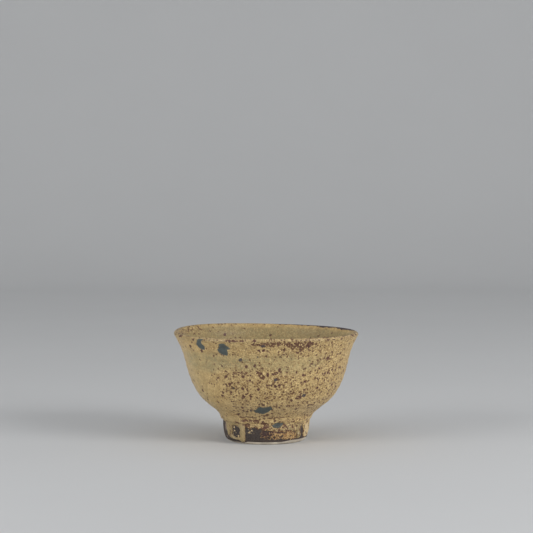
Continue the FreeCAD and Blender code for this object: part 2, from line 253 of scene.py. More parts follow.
# A coat over a base surface.  Where its thickness is above zero the base is covered; the edge is where the
# thickness crosses zero, found along each triangle's sides, and the coat's back lies just inside the base.
def makeCoat(name, base, normal, thickness, fields, backDepth=0.12, closed=True):
    rows, columns = thickness.shape
    triangles = gridTriangles(rows, columns, closed)
    depth = thickness.ravel()
    points = base.reshape(-1, 3)
    outwards = normal.reshape(-1, 3)
    corners = depth[triangles] > 0
    count = corners.sum(1)
    whole = triangles[count == 3]
    mixed = triangles[(count == 1) | (count == 2)]
    crossed = corners[(count == 1) | (count == 2)]
    odd = np.where(crossed.sum(1)[:, None] == 1, crossed, ~crossed)    # the corner unlike the others
    first = np.argmax(odd, axis=1)
    order = (first[:, None] + np.arange(3)[None, :]) % 3
    mixed = np.take_along_axis(mixed, order, axis=1)
    pairs = np.sort(np.concatenate([mixed[:, [0, 1]], mixed[:, [0, 2]]]), axis=1)
    edges, index = np.unique(pairs, axis=0, return_inverse=True)
    index = index.reshape(-1)
    share = depth[edges[:, 0]] / (depth[edges[:, 0]] - depth[edges[:, 1]] + 1e-12)
    edgePoints = points[edges[:, 0]] + share[:, None] * (points[edges[:, 1]] - points[edges[:, 0]])
    total = len(points)
    low, high = total + index[:len(mixed)], total + index[len(mixed):]
    single = depth[mixed[:, 0]] > 0
    cut = [np.stack([mixed[single, 0], low[single], high[single]], 1),
           np.stack([low[~single], mixed[~single, 1], mixed[~single, 2]], 1),
           np.stack([low[~single], mixed[~single, 2], high[~single]], 1)]
    top = np.concatenate([whole] + cut)

    topPoints = np.concatenate([points + outwards * np.maximum(depth, 0)[:, None], edgePoints])
    backPoints = np.concatenate([points - outwards * backDepth, edgePoints])
    inside = np.arange(len(topPoints)) < total
    offset = len(topPoints)
    back = np.where(inside[top], top + offset, top)[:, ::-1]
    sides = np.concatenate([top[:, [0, 1]], top[:, [1, 2]], top[:, [2, 0]]])
    code = sides[:, 0].astype(np.int64) * (2 * offset) + sides[:, 1]
    reverse = sides[:, 1].astype(np.int64) * (2 * offset) + sides[:, 0]
    border = sides[~np.isin(code, reverse)]
    border = border[inside[border].any(axis=1)]
    lower = np.where(inside[border], border + offset, border)
    wallOne = np.stack([border[:, 1], border[:, 0], lower[:, 0]], 1)
    wallTwo = np.stack([border[:, 1], lower[:, 0], lower[:, 1]], 1)
    faces = np.concatenate([top, back, wallOne, wallTwo])

    values = {}
    for field, grid in fields.items():
        flat = (grid * np.ones(thickness.shape)).ravel()
        atEdges = flat[edges[:, 0]] + share * (flat[edges[:, 1]] - flat[edges[:, 0]])
        values[field] = np.tile(np.concatenate([flat, atEdges]), 2)
    vertices = np.concatenate([topPoints, backPoints])
    used, packed = np.unique(faces, return_inverse=True)
    faces = packed.reshape(faces.shape)
    vertices = settle(vertices[used])
    values = {field: array[used] for field, array in values.items()}
    vertices, faces, values = mergeDoubles(vertices, faces, values)
    return makeObject(name, vertices, faces, values)


# the material, body and CAD nodes of a finished piece
def finishPiece(piece, material, slot, *nodes):
    piece.data.materials.append(material)
    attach(piece, "root")
    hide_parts(*nodes)
    print("piece:", piece.name, len(piece.data.polygons), "triangles")
    return piece


# random numbers on a lattice of cells, blended smoothly between the cells' corners, from -1 to 1
def latticeNoise(points, size, seed):
    scaled = points / size
    cell = np.floor(scaled)
    part = scaled - cell
    part = part * part * (3.0 - 2.0 * part)
    total = 0.0
    for corner in np.ndindex(2, 2, 2):
        weight = np.prod(np.where(np.array(corner) > 0, part, 1.0 - part), axis=-1)
        value = np.sin((cell + corner) @ np.array([12.9898, 78.233, 37.719]) + seed) * 4375.85453
        total = total + weight * (value - np.floor(value))
    return 2.0 * total - 1.0


# distance in mm from grid points to a closed outline of (turn, height) points, above zero inside it
def outlineDistance(turn, height, radius, outline):
    arc = math.radians(1.0) * radius
    x, y = turn * arc, height
    corners = np.array(outline) * (arc, 1.0)
    nearest = np.full(np.broadcast(x, y).shape, 1e9)
    inside = np.zeros(nearest.shape, dtype=bool)
    for a, b in zip(corners, np.roll(corners, -1, axis=0)):
        run = b - a
        along = np.clip(((x - a[0]) * run[0] + (y - a[1]) * run[1]) / (run @ run), 0.0, 1.0)
        nearest = np.minimum(nearest, np.hypot(x - a[0] - along * run[0], y - a[1] - along * run[1]))
        crosses = (a[1] > y) != (b[1] > y)
        inside ^= crosses & (x < a[0] + (y - a[1]) / (run[1] if run[1] else 1e-9) * run[0])
    return np.where(inside, nearest, -nearest)


# soft ragged marks: each is (turn, height, half width, half height in mm, strength), the strongest one wins
def paintMarks(points, turn, height, radius, marks):
    ragged = 0.35 * latticeNoise(points, 1.6, 3.1) + 0.25 * latticeNoise(points, 0.8, 8.4)
    painted = np.zeros(turn.shape)
    for markTurn, markHeight, halfWidth, halfHeight, strength in marks:
        across = np.radians(turnApart(turn, markTurn)) * radius / halfWidth
        away = np.hypot(across, (height - markHeight) / halfHeight)
        painted = np.maximum(painted, strength * (1.0 - smooth(0.55, 1.25, away + ragged)))
    return painted


# a ring round the bowl that is full between two heights and fades over a margin
def heightBand(height, low, high, margin):
    return smooth(low - margin, low + margin, height) * (1.0 - smooth(high - margin, high + margin, height))


# degrees from one turn to another, the short way round
def turnApart(turn, other):
    return (turn - other + 180.0) % 360.0 - 180.0


# the same for turns in degrees: full within half the band's width of its middle
def turnBand(turn, low, high, margin):
    half = (high - low) / 2.0
    return 1.0 - smooth(half - margin, half + margin, np.abs(turnApart(turn, (low + high) / 2.0)))


# a band of a line turned round the axis, sunk by a depth: base points, outward directions, turns and heights
def turnedBand(line, normals, stations, turns, sink=0.0):
    run = arcLength(line)
    place = resample(line, stations)
    facing = np.stack([np.interp(stations, run, normals[:, k]) for k in (0, 1)], axis=1)
    facing /= np.hypot(facing[:, 0], facing[:, 1])[:, None]
    turn = np.degrees(turns)[None, :] * np.ones((len(stations), 1))
    height = place[:, 1][:, None] * np.ones((1, len(turns)))
    return turned(place - sink * facing, turns), turned(facing, turns), turn, height


# closed body of revolution: each point of a profile turned round the axis, then settled
def makeSolid(name, line, turns, fields):
    vertices = turned(line, turns)
    triangles = gridTriangles(len(line), len(turns))
    values = {field: grid.ravel() for field, grid in fields(vertices, turns).items()}
    vertices = settle(vertices).reshape(-1, 3)
    return makeObject(name, *mergeDoubles(vertices, triangles, values))


turns = columnTurns(240, 136)
edgeSlope = 0.02    # how fast a coat's thickness falls below zero past its edge
raggedness = 0.34    # how far in mm an edge wanders from its outline

# places where the glaze crawled off the clay: width and height in mm, and how far the spot sits above
# its node's middle.  The outlines are drawn as coarse shares of that width and height.
bareSpots = {
    "lip": {
        "radius": 66.0, "width": 9.5, "tall": 8.5, "rise": 1.7, "grow": 0.0,
        "shares": [(0.55, 1.0), (0.3, 0.7), (0.0, 0.4), (0.2, 0.15), (0.5, 0.0), (0.8, 0.0), (0.85, 0.35),
                   (0.65, 0.45), (0.7, 0.7), (1.0, 1.0)]},
    "upper": {
        "radius": 64.0, "width": 10.5, "tall": 9.0, "rise": 0.3, "grow": 0.0,
        "shares": [(0.25, 0.85), (0.6, 1.0), (0.75, 0.8), (1.0, 0.55), (0.7, 0.5), (0.75, 0.25), (0.65, 0.0),
                   (0.35, 0.05), (0.1, 0.2), (0.0, 0.45), (0.2, 0.65)]},
    "belly": {
        "radius": 42.0, "width": 13.0, "tall": 6.0, "rise": 0.0, "grow": 0.0,
        "shares": [(0.0, 0.4), (0.2, 0.65), (0.35, 1.0), (0.55, 0.85), (0.9, 1.0), (1.0, 0.7), (0.7, 0.2),
                   (0.45, 0.0), (0.3, 0.1), (0.05, 0.25)]},
    "foot": {
        "radius": 31.5, "width": 8.0, "tall": 3.5, "rise": 0.0, "grow": 0.35,
        "shares": [(0.0, 0.4), (0.3, 0.8), (0.55, 1.0), (0.8, 0.8), (1.0, 0.85), (0.8, 0.35), (0.55, 0.0),
                   (0.1, 0.1)]},
}


# outline as (turn, height) points: each share times the width or height, centred on a turn and a level
def placedOutline(look, radius, turn, level):
    across = (np.array(look["shares"]) - 0.5) * (look["width"], look["tall"])
    return across * (math.degrees(1.0 / radius), 1.0) + (turn, level)


for name, spot in bareSpots.items():
    low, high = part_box("slip_patch_" + name)
    middle = (low + high) / 2.0 / mm
    spotTurn = math.degrees(math.atan2(middle[1], middle[0])) % 360.0
    spot["outline"] = placedOutline(spot, spot["radius"], spotTurn, middle[2] + spot["rise"])
    print("bare spot", name, round(spotTurn, 1), round(middle[2], 1))


# how far a point is outside every bare spot in mm, with the spots' edges a little ragged
def clearOfSpots(points, turn, height, *names):
    clear = np.full(turn.shape, 50.0)
    for name in names:
        spot = bareSpots[name]
        away = -outlineDistance(turn, height, spot["radius"], spot["outline"])
        clear = np.minimum(clear, away - spot["grow"])
    return clear + raggedness * latticeNoise(points, 1.3, 5.7)


outerGlaze = {
    "thickness": 0.6, "lumps": 0.05, "edgeRoll": 0.8,
    "celadonBand": (56.0, 68.0), "celadonTurns": (196.0, 310.0),
    "speckBand": (20.0, 60.0), "speckTurns": (234.0, 336.0),
    # iron marks: turn, height, half width, half height, strength
    "iron": [
        (262.5, 76.0, 4.0, 1.5, 0.9), (268.5, 76.0, 6.0, 2.2, 0.95), (276.0, 76.5, 8.0, 2.1, 0.95),
        (283.5, 76.0, 6.5, 2.2, 0.95), (289.0, 76.0, 6.0, 2.6, 0.9), (293.5, 73.5, 4.6, 2.4, 0.95),
        (277.0, 74.5, 24.0, 3.4, 0.56),
        (297.5, 76.0, 3.6, 2.2, 1.0), (292.0, 71.0, 3.4, 1.9, 0.8), (286.5, 73.0, 4.4, 2.2, 0.75),
        (250.0, 78.5, 5.0, 0.8, 1.0), (281.5, 72.5, 1.4, 1.1, 0.9), (286.0, 70.5, 1.3, 1.0, 0.9),
        (284.0, 67.0, 1.3, 1.3, 0.8), (276.0, 67.0, 0.9, 0.8, 0.9), (315.0, 64.0, 3.4, 1.4, 0.95),
        (305.0, 71.5, 1.8, 1.0, 0.8), (302.0, 75.5, 1.6, 1.2, 0.8),
        (219.5, 78.0, 2.0, 1.2, 0.95), (217.0, 76.0, 1.5, 1.0, 0.9), (213.0, 73.0, 2.2, 1.9, 0.9),
        (248.5, 54.5, 3.0, 1.3, 0.85), (253.5, 55.5, 3.6, 1.6, 0.9), (265.0, 55.0, 3.0, 2.4, 0.9),
        (267.5, 52.0, 2.2, 1.8, 0.8), (276.5, 55.0, 3.6, 1.3, 1.0), (272.5, 57.0, 2.4, 1.0, 0.8),
        (277.5, 51.0, 2.2, 1.9, 1.0), (242.0, 55.5, 2.0, 1.0, 0.7), (283.5, 53.0, 2.4, 1.0, 0.7),
        (290.5, 30.5, 5.5, 0.9, 0.9), (296.0, 36.0, 4.0, 1.8, 0.8), (288.0, 40.5, 4.0, 2.0, 0.75),
        (303.0, 33.0, 2.6, 1.2, 0.8), (271.0, 33.0, 2.6, 1.4, 0.75), (264.0, 46.0, 2.4, 1.4, 0.7),
        (258.0, 39.0, 2.0, 1.4, 0.7), (315.5, 15.5, 2.4, 1.2, 1.0), (305.0, 17.5, 2.0, 0.8, 0.8),
        (337.0, 14.5, 3.6, 1.1, 0.9), (298.0, 18.0, 2.0, 0.9, 0.7),
        (236.0, 22.5, 5.0, 0.6, 0.9), (240.0, 20.5, 5.4, 0.7, 0.95), (246.0, 18.5, 6.0, 1.1, 0.95),
        (252.0, 21.0, 4.0, 0.7, 0.8), (257.0, 18.0, 3.6, 1.5, 0.95), (232.0, 17.0, 3.0, 0.8, 0.9),
        (268.0, 22.5, 2.8, 0.8, 0.95), (276.0, 20.5, 5.8, 0.6, 0.95), (286.0, 21.0, 5.0, 0.6, 0.9),
        (270.5, 14.0, 3.2, 3.4, 1.0), (266.5, 16.5, 2.6, 1.6, 0.95), (244.5, 14.0, 2.8, 2.6, 1.0),
        (249.5, 12.5, 2.0, 1.4, 0.9), (256.5, 13.0, 2.0, 1.2, 0.85), (262.5, 12.5, 2.4, 1.2, 0.9),
        (293.0, 14.5, 2.0, 1.2, 0.9), (301.0, 15.0, 1.6, 0.8, 0.8), (290.0, 13.0, 5.0, 1.3, 0.74),
        (299.5, 13.5, 4.0, 1.1, 0.78), (307.5, 13.0, 2.6, 1.0, 0.78), (296.0, 10.5, 8.0, 1.2, 0.74),
        (384.0, 70.0, 7.0, 2.4, 0.8), (392.0, 66.0, 3.0, 2.6, 0.7), (430.0, 75.5, 9.0, 1.2, 0.9),
        (441.0, 73.0, 4.0, 2.0, 0.8), (470.0, 40.0, 5.0, 2.0, 0.8), (478.0, 36.0, 3.0, 2.2, 0.7),
        (405.0, 30.0, 5.0, 1.0, 0.8), (520.0, 60.0, 4.0, 2.4, 0.75), (452.0, 21.0, 7.0, 1.0, 0.9),
        (500.0, 19.0, 6.0, 0.9, 0.9), (380.0, 20.0, 6.0, 1.0, 0.9),
    ],
    # painted highlights: a pale curve along the ledge where the glaze rolls over it, and two pale lines at
    # the left run's edge
    "paintedGleam": [
        (313.5, 12.0, 1.4, 0.9, 0.6), (317.0, 13.5, 1.5, 0.9, 0.7), (321.5, 14.5, 1.6, 0.8, 0.7),
        (326.5, 16.0, 1.8, 0.8, 0.75), (332.0, 17.0, 2.0, 0.8, 0.8), (338.0, 17.5, 2.2, 0.8, 0.8),
        (345.0, 18.5, 2.4, 0.8, 0.7), (206.5, 10.0, 0.7, 6.0, 0.5), (210.0, 16.5, 1.0, 2.0, 0.4)],
    # round slate dots: turn, height, half width, half height, strength
    "slate": [
        (253.0, 65.0, 1.5, 1.2, 0.9), (264.5, 67.0, 1.0, 0.9, 0.9), (268.0, 75.0, 2.2, 1.0, 0.9),
        (276.5, 50.5, 1.4, 1.3, 0.8), (300.5, 38.0, 1.7, 1.3, 1.0), (255.0, 26.5, 1.2, 0.7, 0.9),
        (212.5, 71.5, 1.3, 1.1, 0.7), (415.0, 56.0, 1.6, 1.4, 0.9), (489.0, 63.0, 1.2, 1.1, 0.9),
    ],
}


# colour masks that every glaze coat carries, each from 0 to 1
def glazeFields(points, turn, height, radius):
    look = outerGlaze
    drift = 2.6 * latticeNoise(points, 14.0, 2.2)
    band = heightBand(height + drift, *look["celadonBand"], 3.0) * turnBand(turn, *look["celadonTurns"], 12.0)
    celadon = band * (0.82 + 0.24 * latticeNoise(points, 9.0, 6.1))
    leftSide = turnBand(turn, 190.0, 222.0, 14.0)
    celadon = np.maximum(celadon, 0.38 * leftSide * heightBand(height, 22.0, 66.0, 10.0))
    lowRight = 0.6 * turnBand(turn, 288.0, 314.0, 5.0) * heightBand(height, 9.0, 15.5, 1.6)
    celadon = np.maximum(celadon, lowRight)
    behind = turnBand(turn, 350.0, 545.0, 12.0)
    backBand = heightBand(height + 2.0 * drift, 48.0, 64.0, 6.0) * turnBand(turn, 396.0, 470.0, 24.0)
    celadon = np.maximum(celadon, 0.75 * behind * backBand)

    front = turnBand(turn, *look["speckTurns"], 12.0)
    specks = 0.24 + front * (0.28 + 0.48 * heightBand(height + drift, *look["speckBand"], 6.0))
    specks = specks + 0.22 * turnBand(turn, 286.0, 338.0, 14.0) * smooth(58.0, 66.0, height)
    specks = specks * (1.0 - 0.5 * leftSide) * (1.0 - 0.45 * band)
    specks = specks + 0.3 * behind * smooth(-0.1, 0.5, latticeNoise(points, 26.0, 9.1))
    specks = specks * (1.0 - 0.4 * turnBand(turn, 222.0, 262.0, 8.0) * smooth(60.0, 66.0, height))
    specks = specks * (0.85 + 0.3 * latticeNoise(points, 11.0, 9.9))
    net = 0.25 + 0.75 * turnBand(turn, 236.0, 340.0, 16.0) * (1.0 - 0.6 * band)
    net = np.maximum(net, behind * (0.5 + 0.35 * latticeNoise(points, 22.0, 3.9)))
    iron = paintMarks(points, turn, height, radius, look["iron"])
    slate = paintMarks(points, turn, height, radius, look["slate"])
    # painted reflection: the left side of the wall, seen at a grazing angle, is made paler
    pale = 0.3 * turnBand(turn, 190.0, 208.0, 12.0) * heightBand(height, 24.0, 74.0, 8.0)
    # painted light: the lower front of the wall is made paler, as if lit from low in front
    pale = np.maximum(pale, 0.3 * front * heightBand(height, 17.0, 33.0, 6.0))
    # painted highlights along the ledge and the left run's edge
    pale = np.maximum(pale, paintMarks(points, turn, height, radius, look["paintedGleam"]))
    poolshade = (1.0 - smooth(15.0, 24.0, height)) * turnBand(turn, 196.0, 240.0, 8.0)
    fields = {"celadon": celadon, "specks": specks, "net": net, "iron": iron, "slate": slate, "pale": pale,
              "poolshade": poolshade, "scatter": np.zeros(turn.shape)}
    return {name: np.clip(grid, 0.0, 1.0) for name, grid in fields.items()}


# coat of ash glaze over the outside: its thickness times a soft step of the distance to the nearest bare
# spot, and of the distance from the lip band
def makeOuterGlaze():
    look = outerGlaze
    stations = np.linspace(lipEnd - 0.6, skinRun, 122)
    base, facing, turn, height = turnedBand(skinLine, skinNormal, stations, turns, look["thickness"])
    radius = np.hypot(base[..., 0], base[..., 1])
    clear = clearOfSpots(base, turn, height, "lip", "upper", "belly", "foot")
    thickness = look["thickness"] * smooth(0.0, look["edgeRoll"], clear)
    thickness = thickness + edgeSlope * np.minimum(clear, 0.0)
    lumps = look["lumps"] * (latticeNoise(base, 3.4, 1.3) + 0.6 * latticeNoise(base, 1.7, 4.4))
    thickness = thickness + lumps * smooth(0.3, 1.5, clear)
    lapped = smooth(0.0, 1.6, stations - stations[0])[:, None]
    thickness = np.where(clear > 0.0, thickness * lapped + (lapped - 1.0) * edgeSlope, thickness)
    fields = glazeFields(base, turn, height, radius)
    band = (stations - lipEnd)[:, None] + 0.8 * latticeNoise(base, 4.0, 7.0)
    fields["poolshade"] = np.maximum(fields["poolshade"], 0.2 * (1.0 - smooth(0.2, 1.6, band)))
    return makeCoat("outerGlaze", base, facing, thickness, fields)


innerGlaze = {
    "thickness": 0.6, "lumps": 0.04, "bandLength": 1.2,
    "poolRing": 21.0, "poolDepth": 0.25, "greenDepth": 3.2,
    # dark marks on the lip, iron dashes at the front and a dark line along the back of the rim: turn, height
    # (over the crest it counts on upwards), half width, half height, strength
    "rimDarkMarks": [
        (225.5, 82.5, 2.2, 1.6, 1.0), (220.5, 81.0, 2.0, 1.0, 0.8), (203.0, 79.5, 4.6, 1.8, 0.9),
        (198.5, 80.5, 3.0, 1.4, 0.9), (212.0, 80.0, 4.0, 0.9, 0.7), (300.0, 80.5, 6.0, 0.7, 0.8),
        (310.0, 80.5, 6.0, 0.9, 0.95), (318.0, 80.5, 5.0, 0.7, 0.9), (327.0, 80.5, 6.0, 0.7, 0.9),
        (338.0, 79.5, 3.6, 1.6, 0.95), (345.0, 80.0, 3.0, 1.4, 0.9), (248.5, 79.0, 5.0, 0.7, 0.9),
        (376.0, 81.0, 12.0, 2.0, 1.0), (389.0, 81.0, 16.0, 2.3, 1.0), (404.0, 81.0, 16.0, 2.0, 1.0),
        (419.0, 80.5, 15.0, 1.8, 1.0), (436.0, 80.5, 14.0, 1.4, 0.95), (464.0, 80.5, 16.0, 1.0, 0.8),
        (495.0, 80.0, 16.0, 0.9, 0.85), (520.0, 80.0, 14.0, 1.0, 0.8)],
    # iron spots on the inner wall
    "wallIron": [
        (505.5, 73.5, 1.8, 1.3, 1.0), (511.5, 77.0, 2.2, 1.2, 0.9), (510.0, 74.0, 1.3, 1.0, 0.9),
        (486.0, 74.5, 1.3, 1.0, 0.75), (474.5, 72.0, 1.5, 1.6, 0.85), (473.5, 70.0, 2.0, 1.2, 0.75),
        (428.0, 66.0, 2.0, 1.6, 0.7), (250.0, 58.0, 3.0, 2.0, 0.8), (296.0, 44.0, 4.0, 2.4, 0.8),
        (352.0, 52.0, 2.6, 2.0, 0.8), (402.0, 36.0, 3.4, 2.0, 0.75), (460.0, 30.0, 3.0, 2.4, 0.7)],
}


# coat over the inside, the lip and a thin band outside it, where it laps over the outer coat and thins out
def makeInnerGlaze():
    look = innerGlaze
    bandEnd = lipEnd + look["bandLength"] + 1.0
    stations = np.concatenate([np.linspace(0.0, lipStart - 1.4, 88, endpoint=False),
                               np.linspace(lipStart - 1.4, bandEnd, 26)])
    base, facing, turn, height = turnedBand(skinLine, skinNormal, stations, turns, look["thickness"])
    radius = np.hypot(base[..., 0], base[..., 1])
    past = (stations - lipCrest)[:, None]
    reach = np.where(past < 0.0, bowlHeight - past, height)
    clear = clearOfSpots(base, turn, reach, "lip")
    lap = bandEnd - stations[:, None] + 0.35 * latticeNoise(base, 5.0, 2.5) - 0.4
    clear = np.minimum(clear, lap)
    thickness = (look["thickness"] + 0.03) * smooth(0.0, 0.8, clear)
    thickness = thickness + edgeSlope * np.minimum(clear, 0.0)
    lumps = look["lumps"] * (latticeNoise(base, 4.2, 11.3) + 0.6 * latticeNoise(base, 1.9, 14.4))
    ring = np.exp(-((radius - look["poolRing"]) / 2.2) ** 2) * (past < 0.0)
    thickness = thickness + (lumps - look["poolDepth"] * ring) * smooth(0.3, 1.5, clear)
    fields = glazeFields(base, turn, height, np.maximum(radius, 1.0))
    inside = 1.0 - smooth(-1.6, 0.6, past)
    wavering = -past + 1.3 * latticeNoise(base, 9.0, 3.3)
    green = inside * smooth(look["greenDepth"], look["greenDepth"] + 2.8, wavering)
    deep = smooth(8.0, 50.0, -past)
    # painted shade: the lip's upward face and the band just outside it are darkened with olive, and the lip's
    # top with extra specks, partly its own dark specks
    lipTop = 1.0 - smooth(0.7, 1.4, np.abs(past + 0.2) / 2.2)
    fields["celadon"] = green * (0.78 + 0.2 * latticeNoise(base, 16.0, 4.9))
    fields["specks"] = fields["specks"] * (1.0 - inside) + inside * (0.07 + 0.1 * deep) + 0.45 * lipTop
    fields["net"] = fields["net"] * (1.0 - inside) + inside * (0.3 + 0.25 * deep)
    # olive glaze pooled deeper into the well and in a ring there, with painted shade: darker from just below
    # the lip, darker to the left and lighter to the right
    pooledAndShaded = 0.36 + 0.56 * smooth(3.4, 7.0, -past) + 0.15 * deep - 0.42 * np.cos(np.radians(turn))
    pooledAndShaded = pooledAndShaded + 0.2 * latticeNoise(base, 24.0, 8.2) + ring * 0.4
    below = smooth(0.5, 1.2, past) * (1.0 - smooth(3.2, 4.4, past))
    fields["poolshade"] = np.clip(np.maximum(inside * pooledAndShaded, 0.4 * lipTop + 0.42 * below), 0.0, 1.0)
    rimDarkMarks = paintMarks(base, turn, reach, rimRadius, look["rimDarkMarks"])
    wallIron = inside * paintMarks(base, turn, height, np.maximum(radius, 1.0), look["wallIron"])
    fields["iron"] = np.maximum(np.maximum(fields["iron"] * (1.0 - inside), rimDarkMarks), wallIron)
    netted = turnBand(turn, 140.0, 218.0, 8.0) * (1.0 - smooth(-1.0, 2.0, past))
    netted = netted * (1.0 - smooth(6.0, 10.0, -past))
    fields["net"] = np.maximum(fields["net"], netted)
    fields["specks"] = np.maximum(fields["specks"], 0.95 * netted)
    # the dark line along the back right of the rim is made slate grey
    bluish = 0.75 * rimDarkMarks * turnBand(turn, 366.0, 450.0, 8.0)
    fields["slate"] = np.maximum(fields["slate"] * (1.0 - inside), bluish)
    # pale line along the lip's crest: glaze thinned on the lip, with a painted highlight; kept faint on the
    # left
    crest = np.abs(past - 0.2) / 0.8 + 0.7 * latticeNoise(base, 3.4, 1.2)
    fields["pale"] = 0.36 * (1.0 - smooth(0.6, 1.2, crest))
    fields["pale"] = fields["pale"] * (1.0 - 0.8 * turnBand(turn, 190.0, 226.0, 10.0))
    return makeCoat("innerGlaze", base, facing, thickness, fields)


clayBody = {"plugRadius": 22.45, "nubRadius": 6.0, "nubDepth": 1.2, "nubEdge": 0.8}


# fired clay under the glaze: the wall, and the plug that shows as the ceiling of the foot's recess
def makeClayBody():
    look = clayBody
    wall = resample(clayLine, np.linspace(0.0, arcLength(clayLine)[-1], 170))
    ceiling = np.array([
        (seat[0] - 0.3, seatHeight), (look["plugRadius"], seatHeight), (look["plugRadius"], recessHeight)])
    shaved = np.linspace(look["plugRadius"] - 0.4, look["nubRadius"] + look["nubEdge"], 40)
    spiral = recessHeight + 0.12 * np.sin(shaved * 2.4)
    nubHeight = recessHeight - look["nubDepth"]
    nub = np.array([(look["nubRadius"], recessHeight - look["nubDepth"] * 0.75),
                    (look["nubRadius"] - 1.0, nubHeight), (0.0, nubHeight)])
    line = np.concatenate([wall, ceiling, np.stack([shaved, spiral], axis=1), nub])

    # the hidden clay carries no marks
    def fields(points, turns):
        return {field: np.zeros(points.shape[:2]) for field in ("wornAndSheen", "crumbs", "smearAndSheen")}
    return makeSolid("clayBody", line, turns, fields)


footRing = {
    "side": [(0.0, 0.0), (0.2, -4.25), (0.2, -8.5), (-1.4, -14.0)],
    "toe": [(-1.4, -14.0), (-2.2, -15.5), (-3.55, -17.0), (-5.7, -17.0)],
    "standInner": 21.0, "recessRadius": 22.5,
}


# part of the foot's profile: a spline through poles given out and up from the seat
def footCurve(name, count):
    return splineCurve([(seat[0] + out, seatHeight + up) for out, up in footRing[name]], count)


footSide = joinCurves(footCurve("side", 60), footCurve("toe", 24))


# trimmed foot ring, one profile turned round the axis: the side, the rounded toe, the flat it stands on, and
# the recess wall
def makeFootRing():
    look = footRing
    under = np.array([
        (look["standInner"] + 0.8, 0.0), (look["standInner"] + 0.2, 0.25), (look["standInner"], 0.9),
        (look["recessRadius"], recessHeight), (look["recessRadius"], seatHeight - 0.05),
        (seat[0] - 0.6, seatHeight - 0.05), (seat[0], seatHeight - 0.02)])
    line = np.concatenate([footSide, under])

    # pale worn toe with a painted highlight, glaze crumbs in the bare spot and mauve smears, by turn and
    # height
    def fields(points, turns):
        height = points[..., 2]
        turn = np.degrees(turns)[None, :] * np.ones(height.shape)
        outside = np.hypot(points[..., 0], points[..., 1]) > 26.0
        # the pale worn toe also carries a painted highlight, brighter than worn clay and reaching higher up
        # the right side
        wornAndSheenReach = 0.35 * latticeNoise(points, 5.0, 8.8) - 0.8 * turnBand(turn, 300.0, 350.0, 12.0)
        wornAndSheenReach = wornAndSheenReach + 1.1 * turnBand(turn, 150.0, 240.0, 5.0)
        wornAndSheen = 1.0 - smooth(1.5, 2.9, height + wornAndSheenReach)
        # painted highlight: a pale mauve line down the bare strip left of the run
        smearAndSheen = turnBand(turn, 199.0, 204.5, 2.4) * heightBand(height, 3.5, 14.0, 2.5) * outside
        behind = 0.3 * turnBand(turn, 390.0, 450.0, 30.0) * heightBand(height, 5.0, 12.0, 3.0) * outside
        behind = behind * smooth(0.0, 0.7, latticeNoise(points, 6.0, 2.4))
        smearAndSheen = smearAndSheen * smooth(-0.5, 0.5, latticeNoise(points, 1.9, 4.6)) + behind
        hole = bareSpotInRun["outline"]
        crumbs = smooth(-0.5, 0.6, outlineDistance(turn, height, seat[0], hole))
        beside = turnBand(turn, 242.0, 253.0, 2.0) * heightBand(height, 8.6, 11.2, 0.8)
        crumbs = np.maximum(crumbs, beside) * outside
        return {"wornAndSheen": wornAndSheen, "crumbs": crumbs, "smearAndSheen": smearAndSheen}
    return makeSolid("footRing", line, turns, fields)


leftGlazeRun = {
    "thickness": 0.95, "round": 1.5, "fillet": 0.75,
    "iron": [(216.0, 12.5, 1.2, 1.0, 0.7), (215.5, 7.0, 0.8, 1.4, 0.7), (235.0, 9.0, 0.5, 2.2, 0.6)],
    "outline": [
        (200.0, 21.0), (203.5, 16.0), (206.0, 10.0), (208.0, 5.6), (213.0, 3.6), (222.0, 3.1), (230.5, 2.8),
        (233.5, 1.7), (238.5, 1.8), (240.3, 5.0), (240.6, 10.5), (242.5, 14.0), (247.0, 17.5), (250.0, 21.0)],
}
bareSpotInRun = {
    "turn": 225.0, "level": 9.2, "width": 8.5, "tall": 9.8,
    "shares": [(0.15, 0.9), (0.7, 1.0), (1.0, 0.65), (0.95, 0.3), (0.9, 0.05), (0.6, 0.0), (0.2, 0.1),
               (0.0, 0.3), (0.15, 0.5), (0.1, 0.7)]}
bareSpotInRun["outline"] = placedOutline(
    bareSpotInRun, seat[0], bareSpotInRun["turn"], bareSpotInRun["level"])
rightGlazeRun = {
    "thickness": 0.9, "round": 1.4, "fillet": 0.6, "beadThickness": 1.5,
    "iron": [(320.5, 12.0, 1.1, 1.6, 0.95), (322.0, 8.5, 0.7, 1.8, 0.95), (315.5, 10.8, 1.3, 0.9, 0.85),
             (313.5, 13.5, 1.8, 0.9, 0.85), (314.5, 7.0, 0.6, 1.6, 0.8), (318.5, 14.6, 1.4, 0.7, 0.8)],
    "outline": [
        (304.0, 21.0), (309.0, 16.0), (312.5, 12.0), (313.2, 8.0), (314.4, 4.6), (318.0, 3.5), (321.6, 4.4),
        (322.8, 7.0), (321.6, 10.0), (323.0, 13.0), (326.5, 15.5), (333.0, 18.0), (336.0, 21.0)],
    "bead": (318.4, 6.6), "beadRadius": 2.6,
}
